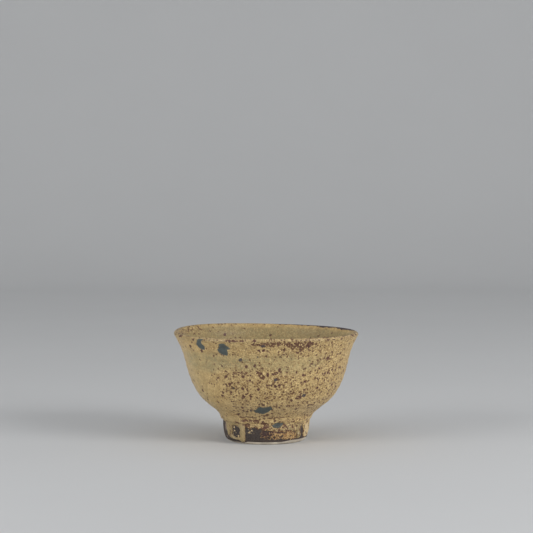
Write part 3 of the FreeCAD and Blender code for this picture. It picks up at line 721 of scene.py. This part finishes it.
footGlaze = {
    "thickness": 0.55, "filmThickness": 0.2, "round": 1.1, "ragged": 0.9, "fillet": 0.45,
    # lower edge of the thick glaze round the foot: turn, height
    "edge": [
        (180.0, 15.2), (203.0, 15.0), (212.0, 14.0), (238.0, 13.5), (243.0, 12.6), (246.0, 11.9),
        (248.0, 11.2), (250.0, 12.2), (254.0, 12.7), (257.5, 12.4), (259.0, 11.4), (261.0, 12.4),
        (266.0, 11.6), (270.0, 10.8), (276.0, 10.6), (284.0, 10.2), (290.0, 9.8), (300.0, 9.6),
        (308.0, 9.6), (313.0, 10.0), (322.0, 11.0), (324.0, 13.2), (326.8, 13.4), (328.6, 9.5),
        (329.4, 6.0), (333.0, 3.8), (345.0, 3.4), (349.0, 7.0), (354.0, 12.8), (372.0, 13.6),
        (384.0, 11.8), (388.0, 6.0), (393.0, 5.2), (397.0, 11.6), (420.0, 13.2), (446.0, 12.2),
        (452.0, 8.2), (457.0, 7.6), (461.0, 12.4), (486.0, 13.8), (506.0, 11.4), (511.0, 6.4),
        (517.0, 6.9), (521.0, 12.6), (540.0, 15.2), (556.0, 15.2)],
    "filmTurns": (266.0, 318.0), "filmHeights": (4.4, 12.0),
}

# line that the foot's glaze lies on: down the skin's last stretch, over the ledge and down the foot's side
lapLength = 5.0
ledgeFold = 5.4    # length along the line at which it turns down over the ledge
lap = resample(skinLine, np.linspace(skinRun - lapLength, skinRun, 40))
ledgeLine = joinCurves(lap, footSide[footSide[:, 1] < seatHeight - 0.4])
ledgeLine = resample(ledgeLine, np.linspace(0.0, arcLength(ledgeLine)[-1], 260))
blur = np.exp(-(np.arange(-7, 8) / 3.5) ** 2)
blur /= blur.sum()
ledgeLine[7:-7] = np.stack([np.convolve(ledgeLine[:, k], blur, mode="valid") for k in (0, 1)], axis=1)
ledgeNormal = profileNormals(ledgeLine)
ledgeEnds = (0.3, arcLength(ledgeLine)[-1] - 1.2)


# grid over the ledge and the foot's side between two turns
def ledgeGrid(low, high, step):
    stations = np.linspace(*ledgeEnds, 64)
    across = np.radians(np.linspace(low, high, int((high - low) / step) + 1))
    base, facing, turn, height = turnedBand(ledgeLine, ledgeNormal, stations, across)
    return base, facing, turn, height, stations[:, None]


# a run of thick glaze inside its outline: sqrt(t (2 - t)) of the thickness for t from 0 at the edge to 1
# inside, with a swell where it folds over the ledge, and a half-ball where it has a bead
def makeRun(name, look, low, high, hole=None, bead=None):
    base, facing, turn, height, station = ledgeGrid(low, high, 0.35)
    away = outlineDistance(turn, height, seat[0], look["outline"])
    if hole is not None:
        away = np.minimum(away, -outlineDistance(turn, height, seat[0], hole))
    away = away + raggedness * latticeNoise(base, 2.1, 2.9) + 0.16 * latticeNoise(base, 0.9, 7.7)
    away = np.minimum(away, (station - 0.5) * 1.5)
    part = np.clip(away / look["round"], 0.0, 1.0)
    thickness = look["thickness"] * np.sqrt(np.clip(part * (2.0 - part), 0.0, 1.0))
    thickness = thickness * smooth(0.0, 5.0, station)
    fillet = look["fillet"] * np.exp(-((station - ledgeFold) / 1.9) ** 2)
    thickness = thickness + fillet * smooth(0.0, 1.5, away)
    thickness = thickness + 0.05 * np.minimum(away, 0.0)
    if bead is not None:
        reach = np.hypot(np.radians(turn - bead[0]) * seat[0], height - bead[1]) / look["beadRadius"]
        ball = look["beadThickness"] * np.sqrt(np.clip(1.0 - reach ** 2, 0.0, 1.0))
        thickness = np.maximum(thickness, ball)
    radius = np.hypot(base[..., 0], base[..., 1])
    fields = glazeFields(base, turn, height, radius)
    onFoot = 1.0 - smooth(13.5, 18.5, height)
    for field, amount in (("celadon", 0.3), ("specks", 0.2), ("net", 0.25)):
        fields[field] = fields[field] * (1.0 - onFoot) + amount * onFoot
    fields["poolshade"] = np.maximum(fields["poolshade"], onFoot)
    edge = (1.0 - smooth(0.1, 0.8, away)) * (1.0 - smooth(14.0, 16.0, height))
    marks = paintMarks(base, turn, height, radius, look["iron"])
    fields["iron"] = np.maximum(np.maximum(fields["iron"], 0.7 * edge), marks)
    # painted highlight: a pale line down the run's right leg on the foot
    fields["pale"] = 0.25 * turnBand(turn, 236.0, 240.0, 3.0) * onFoot
    return makeCoat(name, base, facing, thickness, fields, closed=False)


# thick glaze over the ledge down to a ragged edge with drips, and a thin broken film below it at the front
def makeFootGlaze():
    look = footGlaze
    stations = np.linspace(*ledgeEnds, 60)
    base, facing, turn, height = turnedBand(ledgeLine, ledgeNormal, stations, turns)
    edge = np.interp(turn, *np.array(look["edge"]).T)
    noise = latticeNoise(base, 2.2, 6.6) + 0.6 * latticeNoise(base, 1.0, 1.9)
    below = height - edge + look["ragged"] * 0.6 * noise
    cover = np.minimum(below, clearOfSpots(base, turn, height, "foot"))
    cover = np.minimum(cover, (stations[:, None] - 0.5) * 1.5)
    part = np.clip(cover / look["round"], 0.0, 1.0)
    thick = look["thickness"] * np.sqrt(np.clip(part * (2.0 - part), 0.0, 1.0))
    thick = thick * smooth(0.0, 4.6, stations)[:, None]
    fillet = look["fillet"] * np.exp(-((stations[:, None] - ledgeFold) / 1.8) ** 2)
    thick = thick + fillet * smooth(0.0, 1.5, cover)
    film = turnBand(turn + 4.0 * noise, *look["filmTurns"], 4.0)
    film = film * heightBand(height + noise, *look["filmHeights"], 0.8)
    film = np.minimum(film, smooth(0.0, 0.8, clearOfSpots(base, turn, height, "foot")))
    thin = look["filmThickness"] * smooth(0.35, 0.8, film + 0.3 * noise)
    thickness = np.maximum(thick, thin)
    thickness = np.where(thickness <= 0.0, -0.02, thickness)
    radius = np.hypot(base[..., 0], base[..., 1])
    fields = glazeFields(base, turn, height, radius)
    sparse = 0.68 + 0.45 * heightBand(height, 8.8, 12.5, 0.8) + 0.7 * (1.0 - smooth(270.0, 278.0, turn))
    sparse = sparse + 0.3 * latticeNoise(base, 2.6, 7.1)
    fields["scatter"] = np.where(thin > thick, np.clip(sparse, 0.3, 1.4), 0.0)
    # painted highlight on a cream tongue of glaze at the right of the foot; the olive is kept off it
    creamHighlight = turnBand(turn, 331.0, 345.0, 2.5) * heightBand(height, 3.6, 13.5, 1.5)
    fields["pale"] = np.maximum(fields["pale"], creamHighlight)
    onFoot = (1.0 - smooth(14.0, 18.0, height)) * turnBand(turn, 238.0, 326.0, 4.0)
    fields["poolshade"] = np.maximum(fields["poolshade"], (0.75 + 0.3 * noise) * onFoot) * (1.0 - creamHighlight)
    fields = {field: np.clip(grid, 0.0, 1.4) for field, grid in fields.items()}
    rim = (1.0 - smooth(0.1, 1.0, below)) * (thin <= thick)
    fields["iron"] = np.maximum(fields["iron"], 0.9 * rim)
    return makeCoat("footGlazeFilm", base, facing, thickness, fields)


slipPatch = {"thickness": 0.22, "grow": 0.9, "step": 0.3}


# thin patch of slate slip that lies on the clay in a bare spot and runs a little under the glaze round it
def makeSlipPatch(name, spot, line, normals, sink):
    look = slipPatch
    corners = np.array(spot["outline"])
    low, high = corners.min(axis=0), corners.max(axis=0)
    margin = 2.0 * look["grow"]
    run = arcLength(line)
    outside = (run >= lipCrest) if line is skinLine else (run >= 0.0)
    wanted = outside & (line[:, 1] > low[1] - margin) & (line[:, 1] < high[1] + margin)
    stations = np.arange(run[wanted].min(), run[wanted].max(), look["step"])
    side = math.degrees(margin / spot["radius"])
    across = np.radians(np.arange(low[0] - side, high[0] + side, math.degrees(look["step"] / spot["radius"])))
    base, facing, turn, height = turnedBand(line, normals, stations, across, sink)
    away = outlineDistance(turn, height, spot["radius"], spot["outline"]) + look["grow"]
    away = away + 0.2 * latticeNoise(base, 1.5, 3.6)
    row, column = np.arange(len(stations)), np.arange(len(across))
    border = np.minimum(np.minimum(row, row[::-1])[:, None], np.minimum(column, column[::-1])[None, :])
    away = np.minimum(away, (border - 0.5) * look["step"])
    thickness = look["thickness"] * smooth(0.0, 0.7, away) + 0.05 * np.minimum(away, 0.0)
    # painted shade: the patch on the foot's ledge faces up, and its deep share darkens it
    deep = 0.9 if line is ledgeLine else 0.0
    fields = {"edge": 1.0 - smooth(0.0, 1.2, away - look["grow"]), "deep": np.full(away.shape, deep)}
    return makeCoat(name, base, facing, thickness, fields, closed=False)


# a display colour from 0 to 255 as the linear numbers that shaders take
def fromDisplay(*color):
    shares = [value / 255.0 for value in color]
    return tuple(((share + 0.055) / 1.055) ** 2.4 if share > 0.04 else share / 12.92 for share in shares)


# a shader node of a kind, with its own settings
def addNode(tree, kind, **settings):
    made = tree.nodes.new("ShaderNode" + kind)
    for key, value in settings.items():
        setattr(made, key, value)
    return made


# puts a number, a colour or another node's output on a socket
def feed(tree, socket, source):
    if isinstance(source, bpy.types.NodeSocket):
        tree.links.new(source, socket)
    elif isinstance(source, tuple) and len(source) == 3 and socket.type == "RGBA":
        socket.default_value = (*source, 1.0)
    else:
        socket.default_value = source


# arithmetic on one or two values
def calculate(tree, operation, a, b=None, clamp=False):
    step = addNode(tree, "Math", operation=operation, use_clamp=clamp)
    feed(tree, step.inputs[0], a)
    if b is not None:
        feed(tree, step.inputs[1], b)
    return step.outputs[0]


# a times b
def times(tree, a, b):
    return calculate(tree, "MULTIPLY", a, b)


# a plus b
def plus(tree, a, b):
    return calculate(tree, "ADD", a, b)


# a minus b
def minus(tree, a, b):
    return calculate(tree, "SUBTRACT", a, b)


# value from one range to another with soft ends
def remap(tree, value, fromLow, fromHigh, toLow=0.0, toHigh=1.0):
    step = addNode(tree, "MapRange", interpolation_type="SMOOTHSTEP")
    for place, source in enumerate((value, fromLow, fromHigh, toLow, toHigh)):
        feed(tree, step.inputs[place], source)
    return step.outputs[0]


# colour a where the factor is 0 and colour b where it is 1
def blendColor(tree, factor, a, b):
    step = addNode(tree, "Mix", data_type="RGBA", blend_type="MIX")
    feed(tree, step.inputs[0], factor)
    feed(tree, step.inputs[6], a)
    feed(tree, step.inputs[7], b)
    return step.outputs[2]


# a vector times a number
def scaleVector(tree, vector, factor):
    step = addNode(tree, "VectorMath", operation="SCALE")
    feed(tree, step.inputs[0], vector)
    feed(tree, step.inputs["Scale"], factor)
    return step.outputs[0]


# fractal noise at a point
def noiseAt(tree, vector, scale, detail=2.0, rough=0.55, output="Fac"):
    step = addNode(tree, "TexNoise")
    feed(tree, step.inputs["Vector"], vector)
    feed(tree, step.inputs["Scale"], scale)
    step.inputs["Detail"].default_value = detail
    step.inputs["Roughness"].default_value = rough
    return step.outputs[output]


# a new node group with named inputs (name, default) and outputs (name, type)
def startGroup(name, inputs, outputs):
    tree = bpy.data.node_groups.new(name, "ShaderNodeTree")
    for label, default in inputs:
        kind = "NodeSocketFloat"
        if isinstance(default, tuple):
            kind = "NodeSocketColor"
        if default is None:
            kind = "NodeSocketVector"
        socket = tree.interface.new_socket(label, in_out="INPUT", socket_type=kind)
        if default is not None:
            socket.default_value = (*default, 1.0) if isinstance(default, tuple) else default
    for label, kind in outputs:
        tree.interface.new_socket(label, in_out="OUTPUT", socket_type="NodeSocket" + kind)
    return tree, tree.nodes.new("NodeGroupInput").outputs, tree.nodes.new("NodeGroupOutput").inputs


# a node group placed in a tree with its own values
def useGroup(tree, group, **values):
    placed = addNode(tree, "Group", node_tree=group)
    for label, source in values.items():
        feed(tree, placed.inputs[label], source)
    return placed.outputs


# ragged dots, at most one in a cell: the nearest cell centre counts if its random number is under the amount
def makeFlecksGroup():
    tree, given, made = startGroup(
        "flecks", [("Vector", None), ("Cell", 2.0), ("Radius", 0.25), ("Amount", 0.5), ("Ragged", 0.3)],
        [("Mask", "Float")])
    scaled = scaleVector(tree, given["Vector"], calculate(tree, "DIVIDE", 1.0, given["Cell"]))
    wobble = addNode(tree, "VectorMath", operation="SUBTRACT")
    feed(tree, wobble.inputs[0], noiseAt(tree, scaled, 2.4, 2.0, 0.6, "Color"))
    wobble.inputs[1].default_value = (0.5, 0.5, 0.5)
    bent = addNode(tree, "VectorMath", operation="ADD")
    feed(tree, bent.inputs[0], scaled)
    feed(tree, bent.inputs[1], scaleVector(tree, wobble.outputs[0], given["Ragged"]))
    cells = addNode(tree, "TexVoronoi", feature="F1")
    feed(tree, cells.inputs["Vector"], bent.outputs[0])
    cells.inputs["Scale"].default_value = 1.0
    parts = addNode(tree, "SeparateColor")
    feed(tree, parts.inputs[0], cells.outputs["Color"])
    present = calculate(tree, "LESS_THAN", parts.outputs[0], given["Amount"])
    size = times(tree, given["Radius"], plus(tree, parts.outputs[1], 0.55))
    inner = times(tree, size, 0.66)
    dot = remap(tree, cells.outputs["Distance"], inner, size, 1.0, 0.0)
    feed(tree, made["Mask"], times(tree, dot, present))
    return tree


# worm-like ridges: where a noise crosses its middle value
def makeWormNetGroup():
    tree, given, made = startGroup(
        "wormNet", [("Vector", None), ("Size", 1.5), ("Width", 0.06)], [("Mask", "Float")])
    field = noiseAt(tree, given["Vector"], calculate(tree, "DIVIDE", 1.0, given["Size"]), 1.5, 0.5)
    away = calculate(tree, "ABSOLUTE", minus(tree, field, 0.5))
    feed(tree, made["Mask"], remap(tree, away, 0.0, given["Width"], 1.0, 0.0))
    return tree


# slow clouds from 0 to 1 about a middle value
def makeCloudGroup():
    tree, given, made = startGroup(
        "cloud", [("Vector", None), ("Size", 10.0), ("Spread", 0.15)], [("Value", "Float")])
    field = noiseAt(tree, given["Vector"], calculate(tree, "DIVIDE", 1.0, given["Size"]), 3.0, 0.55)
    low = minus(tree, 0.5, given["Spread"])
    high = plus(tree, 0.5, given["Spread"])
    feed(tree, made["Value"], remap(tree, field, low, high))
    return tree


glazeColors = {
    "gold": fromDisplay(188, 158, 101), "straw": fromDisplay(236, 209, 148), "tan": fromDisplay(144, 112, 68),
    "umber": fromDisplay(100, 72, 42), "celadon": fromDisplay(138, 132, 96),
    "olive": fromDisplay(110, 98, 65), "brown": fromDisplay(94, 58, 36), "dark": fromDisplay(52, 34, 26),
    "plum": fromDisplay(80, 38, 34), "amber": fromDisplay(184, 136, 80), "smoke": fromDisplay(64, 56, 62),
    "cream": fromDisplay(214, 190, 146), "bareClay": fromDisplay(55, 43, 37),
}


# ash glaze: clouded gold with straw-coloured worms and tan pits where it netted, streaks where it ran,
# brown and plum flecks, green where it lay thick, olive where it pooled and for painted shade, cream for
# painted highlights and pale glaze, iron where it broke, gold crumbs on dark clay where thin
def makeAshGlazeGroup(flecks, wormNet, cloud):
    colors = glazeColors
    tree, given, made = startGroup(
        "ashGlaze",
        [("Vector", None), ("Specks", 0.5), ("Celadon", 0.0), ("Net", 0.5), ("Iron", 0.0), ("Slate", 0.0),
         ("Pale", 0.0), ("Poolshade", 0.0), ("Scatter", 0.0)],
        [("Color", "Color"), ("Roughness", "Float"), ("Height", "Float")])
    point = given["Vector"]
    net = given["Net"]
    pale = given["Pale"]
    calm = minus(tree, 1.0, net)
    cloudSizes = ((16.0, 0.16), (4.2, 0.14), (1.15, 0.17), (0.45, 0.2))
    broad, patch, fine, grain = [
        useGroup(tree, cloud, Vector=point, Size=size, Spread=spread)["Value"] for size, spread in cloudSizes]
    worms = useGroup(tree, wormNet, Vector=point, Size=2.3, Width=0.055)["Mask"]
    fineWorms = useGroup(tree, wormNet, Vector=point, Size=1.35, Width=0.05)["Mask"]
    drawn = addNode(tree, "VectorMath", operation="MULTIPLY")    # noise drawn out down the wall
    feed(tree, drawn.inputs[0], point)
    drawn.inputs[1].default_value = (0.62, 0.62, 0.07)
    streaks = remap(tree, noiseAt(tree, drawn.outputs[0], 1.0, 3.0, 0.6), 0.36, 0.64)

    color = blendColor(tree, times(tree, broad, 0.42), colors["gold"], colors["tan"])
    color = blendColor(tree, times(tree, patch, 0.46), color, colors["straw"])
    streakShare = times(tree, streaks, times(tree, calm, 0.62))
    color = blendColor(tree, streakShare, color, colors["tan"])
    green = times(tree, given["Celadon"], remap(tree, patch, 0.0, 1.0, 0.98, 0.66))
    color = blendColor(tree, green, color, colors["celadon"])
    poolshade = times(tree, given["Poolshade"], remap(tree, fine, 0.0, 1.0, 0.8, 0.62))
    color = blendColor(tree, poolshade, color, colors["olive"])
    pits = times(tree, remap(tree, fine, 0.0, 1.0, 0.85, 0.0), remap(tree, net, 0.0, 1.0, 0.3, 1.0))
    color = blendColor(tree, pits, color, colors["tan"])
    wormShare = times(tree, worms, remap(tree, net, 0.0, 1.0, 0.12, 0.7))
    color = blendColor(tree, wormShare, color, colors["straw"])
    pores = times(tree, fineWorms, remap(tree, net, 0.0, 1.0, 0.08, 0.62))
    color = blendColor(tree, pores, color, colors["umber"])
    color = blendColor(tree, times(tree, grain, 0.16), color, colors["straw"])
    # cream from Pale: painted highlights and painted light, partly pale thin glaze
    color = blendColor(tree, times(tree, pale, 0.75), color, colors["cream"])

    many = times(tree, given["Specks"], 0.78)
    some = times(tree, given["Specks"], 0.55)
    small = useGroup(tree, flecks, Vector=point, Cell=1.7, Radius=0.42, Amount=many, Ragged=0.8)["Mask"]
    large = useGroup(tree, flecks, Vector=point, Cell=2.9, Radius=0.36, Amount=some, Ragged=1.0)["Mask"]
    rare = useGroup(tree, flecks, Vector=point, Cell=8.0, Radius=0.12, Amount=0.26, Ragged=0.3)["Mask"]
    for mask, share, tint in ((small, 0.9, "brown"), (large, 0.92, "plum"), (rare, 0.9, "dark")):
        color = blendColor(tree, times(tree, mask, share), color, colors[tint])

    lace = minus(tree, noiseAt(tree, point, 0.8, 3.0, 0.65), times(tree, worms, 0.16))
    iron = plus(tree, times(tree, given["Iron"], 0.62), lace)
    iron = times(tree, remap(tree, iron, 0.84, 1.02), remap(tree, given["Iron"], 0.05, 0.3))
    ironColor = blendColor(tree, useGroup(tree, cloud, Vector=point, Size=1.6, Spread=0.12)["Value"],
                           colors["brown"], colors["plum"])
    color = blendColor(tree, times(tree, iron, 0.92), color, ironColor)
    slate = times(tree, remap(tree, given["Slate"], 0.25, 0.6), 0.9)
    color = blendColor(tree, slate, color, colors["smoke"])

    level = remap(tree, given["Scatter"], 0.3, 1.4, 0.36, 0.6)
    crumbs = minus(tree, noiseAt(tree, point, 0.85, 3.0, 0.6), level)
    crumbs = remap(tree, crumbs, -0.03, 0.06)
    film = remap(tree, given["Scatter"], 0.0, 0.3)
    color = blendColor(tree, times(tree, film, 0.4), color, colors["amber"])
    bare = times(tree, film, minus(tree, 1.0, crumbs))
    bareColor = blendColor(tree, times(tree, patch, 0.5), colors["bareClay"], colors["plum"])
    color = blendColor(tree, bare, color, bareColor)
    feed(tree, made["Color"], color)

    rough = remap(tree, fine, 0.0, 1.0, 0.62, 0.46)
    rough = plus(tree, rough, times(tree, iron, 0.14))
    rough = minus(tree, rough, times(tree, plus(tree, pale, poolshade), 0.14))
    feed(tree, made["Roughness"], calculate(tree, "ADD", rough, times(tree, bare, 0.2), clamp=True))

    height = times(tree, fine, remap(tree, net, 0.0, 1.0, 0.25, 0.6))
    rises = ((wormShare, 0.6), (pores, -0.7), (small, -0.7), (large, -0.5), (patch, 0.4), (bare, -0.6))
    for mask, rise in rises:
        height = plus(tree, height, times(tree, mask, rise))
    feed(tree, made["Height"], height)
    return tree


# a material with its shader and the object's own coordinates in millimetres
def startMaterial(name):
    material = bpy.data.materials.new(name)
    material.use_nodes = True
    tree = material.node_tree
    place = addNode(tree, "TexCoord").outputs["Object"]
    return material, tree, tree.nodes["Principled BSDF"], scaleVector(tree, place, 1000.0)


# a colour mask stored on the piece's points
def readField(tree, name):
    return addNode(tree, "Attribute", attribute_name=name).outputs["Fac"]


# heights are in millimetres
def addBump(tree, shader, height, distance, strength=1.0):
    bump = addNode(tree, "Bump")
    feed(tree, bump.inputs["Height"], height)
    bump.inputs["Distance"].default_value = distance * mm
    bump.inputs["Strength"].default_value = strength
    feed(tree, shader.inputs["Normal"], bump.outputs[0])


# glaze on a piece: the ash glaze group fed with the piece's masks, bumped by relief in mm, under a thin coat
def glazeMaterial(name, group, relief, coat):
    material, tree, shader, point = startMaterial(name)
    masks = ("Specks", "Celadon", "Net", "Iron", "Slate", "Pale", "Poolshade", "Scatter")
    glaze = useGroup(tree, group, Vector=point, **{mask: readField(tree, mask.lower()) for mask in masks})
    feed(tree, shader.inputs["Base Color"], glaze["Color"])
    feed(tree, shader.inputs["Roughness"], glaze["Roughness"])
    addBump(tree, shader, glaze["Height"], relief)
    shader.inputs["IOR"].default_value = 1.5
    shader.inputs["Coat Weight"].default_value = coat
    shader.inputs["Coat Roughness"].default_value = 0.32
    return material


footClayLook = {
    "clay": fromDisplay(50, 43, 41), "rust": fromDisplay(60, 46, 41), "ash": fromDisplay(104, 92, 80),
    "wornAndSheen": fromDisplay(232, 220, 200), "plum": fromDisplay(70, 46, 46), "crumb": fromDisplay(206, 182, 138),
    "smearAndSheen": fromDisplay(150, 130, 118),
}


# dark stoneware: clouded brown with rust, pale grit, a plum flush near the toe, and a pale worn toe with a
# painted highlight
def makeClayMaterial(name, flecks, cloud, look, wornAndSheenAmount):
    material, tree, shader, point = startMaterial(name)
    broad = useGroup(tree, cloud, Vector=point, Size=9.0, Spread=0.18)["Value"]
    fine = useGroup(tree, cloud, Vector=point, Size=0.9, Spread=0.2)["Value"]
    color = blendColor(tree, times(tree, broad, 0.6), look["clay"], look["rust"])
    color = blendColor(tree, times(tree, fine, 0.28), color, look["ash"])
    grit = useGroup(tree, flecks, Vector=point, Cell=2.6, Radius=0.13, Amount=0.4, Ragged=0.2)["Mask"]
    color = blendColor(tree, times(tree, grit, 0.5), color, look["ash"])
    crumbs = useGroup(tree, flecks, Vector=point, Cell=1.9, Radius=0.36, Amount=0.82, Ragged=0.8)["Mask"]
    crumbs = times(tree, crumbs, readField(tree, "crumbs"))
    color = blendColor(tree, crumbs, color, look["crumb"])
    # mauve smears, the one on the front strip a painted highlight
    smearAndSheen = times(tree, readField(tree, "smearAndSheen"), remap(tree, fine, 0.0, 1.0, 1.0, 0.55))
    color = blendColor(tree, smearAndSheen, color, look["smearAndSheen"])
    wornAndSheen = readField(tree, "wornAndSheen")
    flush = remap(tree, calculate(tree, "ABSOLUTE", minus(tree, wornAndSheen, 0.3)), 0.0, 0.3, 0.7, 0.0)
    color = blendColor(tree, flush, color, look["plum"])
    # pale toe: worn clay lit up with a painted highlight
    wornAndSheenColor = blendColor(tree, remap(tree, broad, 0.0, 1.0, 0.0, 0.42), look["wornAndSheen"], look["ash"])
    shown = times(tree, remap(tree, wornAndSheen, 0.4, 0.8), wornAndSheenAmount)
    color = blendColor(tree, shown, color, wornAndSheenColor)
    feed(tree, shader.inputs["Base Color"], color)
    feed(tree, shader.inputs["Roughness"], remap(tree, fine, 0.0, 1.0, 0.84, 0.66))
    height = plus(tree, times(tree, fine, 0.6), times(tree, grit, 0.5))
    addBump(tree, shader, plus(tree, height, times(tree, crumbs, 1.6)), 0.16)
    return material


slipLook = {
    "slate": fromDisplay(78, 87, 86), "deep": fromDisplay(64, 70, 70), "dust": fromDisplay(104, 106, 94),
    "shade": fromDisplay(50, 54, 56),
}


# matt slate slip, dustier towards its edge, with painted shade on the patch on the foot
def makeSlipMaterial(cloud):
    look = slipLook
    material, tree, shader, point = startMaterial("slateSlip")
    patch = useGroup(tree, cloud, Vector=point, Size=2.6, Spread=0.18)["Value"]
    fine = useGroup(tree, cloud, Vector=point, Size=0.7, Spread=0.2)["Value"]
    color = blendColor(tree, patch, look["slate"], look["deep"])
    # painted shade on the patch on the foot, by its deep share
    color = blendColor(tree, readField(tree, "deep"), color, look["shade"])
    dusty = times(tree, readField(tree, "edge"), remap(tree, fine, 0.0, 1.0, 0.2, 0.7))
    color = blendColor(tree, dusty, color, look["dust"])
    color = blendColor(tree, times(tree, fine, 0.2), color, look["dust"])
    feed(tree, shader.inputs["Base Color"], color)
    feed(tree, shader.inputs["Roughness"], remap(tree, patch, 0.0, 1.0, 0.74, 0.6))
    addBump(tree, shader, plus(tree, fine, patch), 0.06)
    return material


flecksGroup = makeFlecksGroup()
wormNetGroup = makeWormNetGroup()
cloudGroup = makeCloudGroup()
ashGlazeGroup = makeAshGlazeGroup(flecksGroup, wormNetGroup, cloudGroup)
outerMaterial = glazeMaterial("ashGlaze", ashGlazeGroup, 0.18, 0.1)
innerMaterial = glazeMaterial("innerGlaze", ashGlazeGroup, 0.12, 0.12)
runMaterial = glazeMaterial("glazeRun", ashGlazeGroup, 0.08, 0.3)
filmMaterial = glazeMaterial("glazeFilm", ashGlazeGroup, 0.18, 0.12)
clayMaterial = makeClayMaterial("clay", flecksGroup, cloudGroup, footClayLook, 0.5)
footMaterial = makeClayMaterial("footClay", flecksGroup, cloudGroup, footClayLook, 0.9)
slipMaterial = makeSlipMaterial(cloudGroup)
print("materials: glaze, clay and slip")


finishPiece(makeClayBody(), clayMaterial, "clay", "clay_bowl")
finishPiece(makeFootRing(), footMaterial, "foot_clay", "foot_ring")
finishPiece(makeOuterGlaze(), outerMaterial, "ash_glaze", "outer_glaze")
finishPiece(makeInnerGlaze(), innerMaterial, "inner_glaze", "inner_glaze")
leftRun = makeRun("leftGlazeRun", leftGlazeRun, 196.0, 254.0, hole=bareSpotInRun["outline"])
finishPiece(leftRun, runMaterial, "glaze_run", "left_glaze_run")
rightRun = makeRun("rightGlazeRun", rightGlazeRun, 302.0, 334.0, bead=rightGlazeRun["bead"])
finishPiece(rightRun, runMaterial, "glaze_run", "right_glaze_run")
finishPiece(makeFootGlaze(), filmMaterial, "glaze_film", "foot_glaze_film")
onWall = (skinLine, skinNormal, outerGlaze["thickness"])
onFoot = (ledgeLine, ledgeNormal, 0.0)
for spotName, ground in (("lip", onWall), ("upper", onWall), ("belly", onWall), ("foot", onFoot)):
    patch = makeSlipPatch("slipPatch" + spotName.capitalize(), bareSpots[spotName], *ground)
    finishPiece(patch, slipMaterial, "slate_slip", "slip_patch_" + spotName)


studio = {
    "cameraDistance": 1.300, "cameraHeight": 0.1985, "cameraPitch": 3.129, "lens": 119.94,
    "floorColor": (0.66, 0.67, 0.68), "worldStrength": 0.44,
    "keyPower": 21.0, "fillPower": 13.0,
}


# matt pale grey with faint clouds
def makeFloorMaterial():
    material, tree, shader, point = startMaterial("studioFloor")
    faint = useGroup(tree, cloudGroup, Vector=point, Size=260.0, Spread=0.3)["Value"]
    lighter = tuple(c * 1.02 for c in studio["floorColor"])
    feed(tree, shader.inputs["Base Color"], blendColor(tree, faint, studio["floorColor"], lighter))
    shader.inputs["Roughness"].default_value = 0.9
    shader.inputs["Specular IOR Level"].default_value = 0.2
    return material


# floor that bends up into a backdrop far behind the bowl
def makeFloor():
    across = np.linspace(-6.0, 6.0, 3)
    ground = np.linspace(-9.0, 1.6, 8)
    bend = np.radians(np.linspace(0.0, 90.0, 24))
    depth = np.concatenate([ground, 1.6 + 1.2 * np.sin(bend[1:]), [2.8]])
    height = np.concatenate([np.zeros(8), 1.2 * (1.0 - np.cos(bend[1:])), [6.0]])
    x, y = np.meshgrid(across, depth)
    z = height[:, None] * np.ones((1, len(across)))
    vertices = np.stack([x, y, z], axis=2).reshape(-1, 3)
    rows, columns = x.shape
    mesh = bpy.data.meshes.new("studioSweep")
    row = np.arange(rows - 1)[:, None]
    column = np.arange(columns - 1)[None, :]
    a = row * columns + column
    faces = np.stack([a, a + 1, a + columns + 1, a + columns], axis=2).reshape(-1, 4)
    mesh.from_pydata(vertices.tolist(), [], faces.tolist())
    mesh.polygons.foreach_set("use_smooth", np.ones(len(faces), dtype=bool))
    sweep = bpy.data.objects.new("studioSweep", mesh)
    bpy.context.scene.collection.objects.link(sweep)
    sweep.data.materials.append(makeFloorMaterial())


# round area lamp that looks from its place to a target
def makeLamp(name, place, target, size, power):
    lamp = bpy.data.lights.new(name, "AREA")
    lamp.shape = "DISK"
    lamp.size = size
    lamp.energy = power
    piece = bpy.data.objects.new(name, lamp)
    bpy.context.scene.collection.objects.link(piece)
    aim = Vector(target) - Vector(place)
    piece.location = place
    piece.rotation_euler = aim.to_track_quat("-Z", "Y").to_euler()


# camera in front of the bowl, looking a little down
def makeCamera():
    camera = bpy.data.cameras.new("camera")
    camera.lens = studio["lens"]
    camera.sensor_width = 36.0
    camera.clip_start = 0.05
    camera.clip_end = 30.0
    piece = bpy.data.objects.new("camera", camera)
    bpy.context.scene.collection.objects.link(piece)
    piece.location = (0.0, -studio["cameraDistance"], studio["cameraHeight"])
    piece.rotation_euler = (math.radians(90.0 - studio["cameraPitch"]), 0.0, 0.0)
    bpy.context.scene.camera = piece


makeFloor()
makeLamp("keyLamp", (1.45, -0.95, 0.6), (0.0, 0.0, 0.04), 0.9, studio["keyPower"])
makeLamp("fillLamp", (-1.45, -0.9, 0.5), (0.0, 0.0, 0.04), 1.0, studio["fillPower"])
makeCamera()
world = bpy.data.worlds.new("studioLight")
bpy.context.scene.world = world
world.use_nodes = True
world.node_tree.nodes["Background"].inputs["Color"].default_value = (1.0, 1.0, 1.0, 1.0)
world.node_tree.nodes["Background"].inputs["Strength"].default_value = studio["worldStrength"]
bpy.context.scene.view_settings.view_transform = "Standard"
print("studio: floor, two lamps, camera")
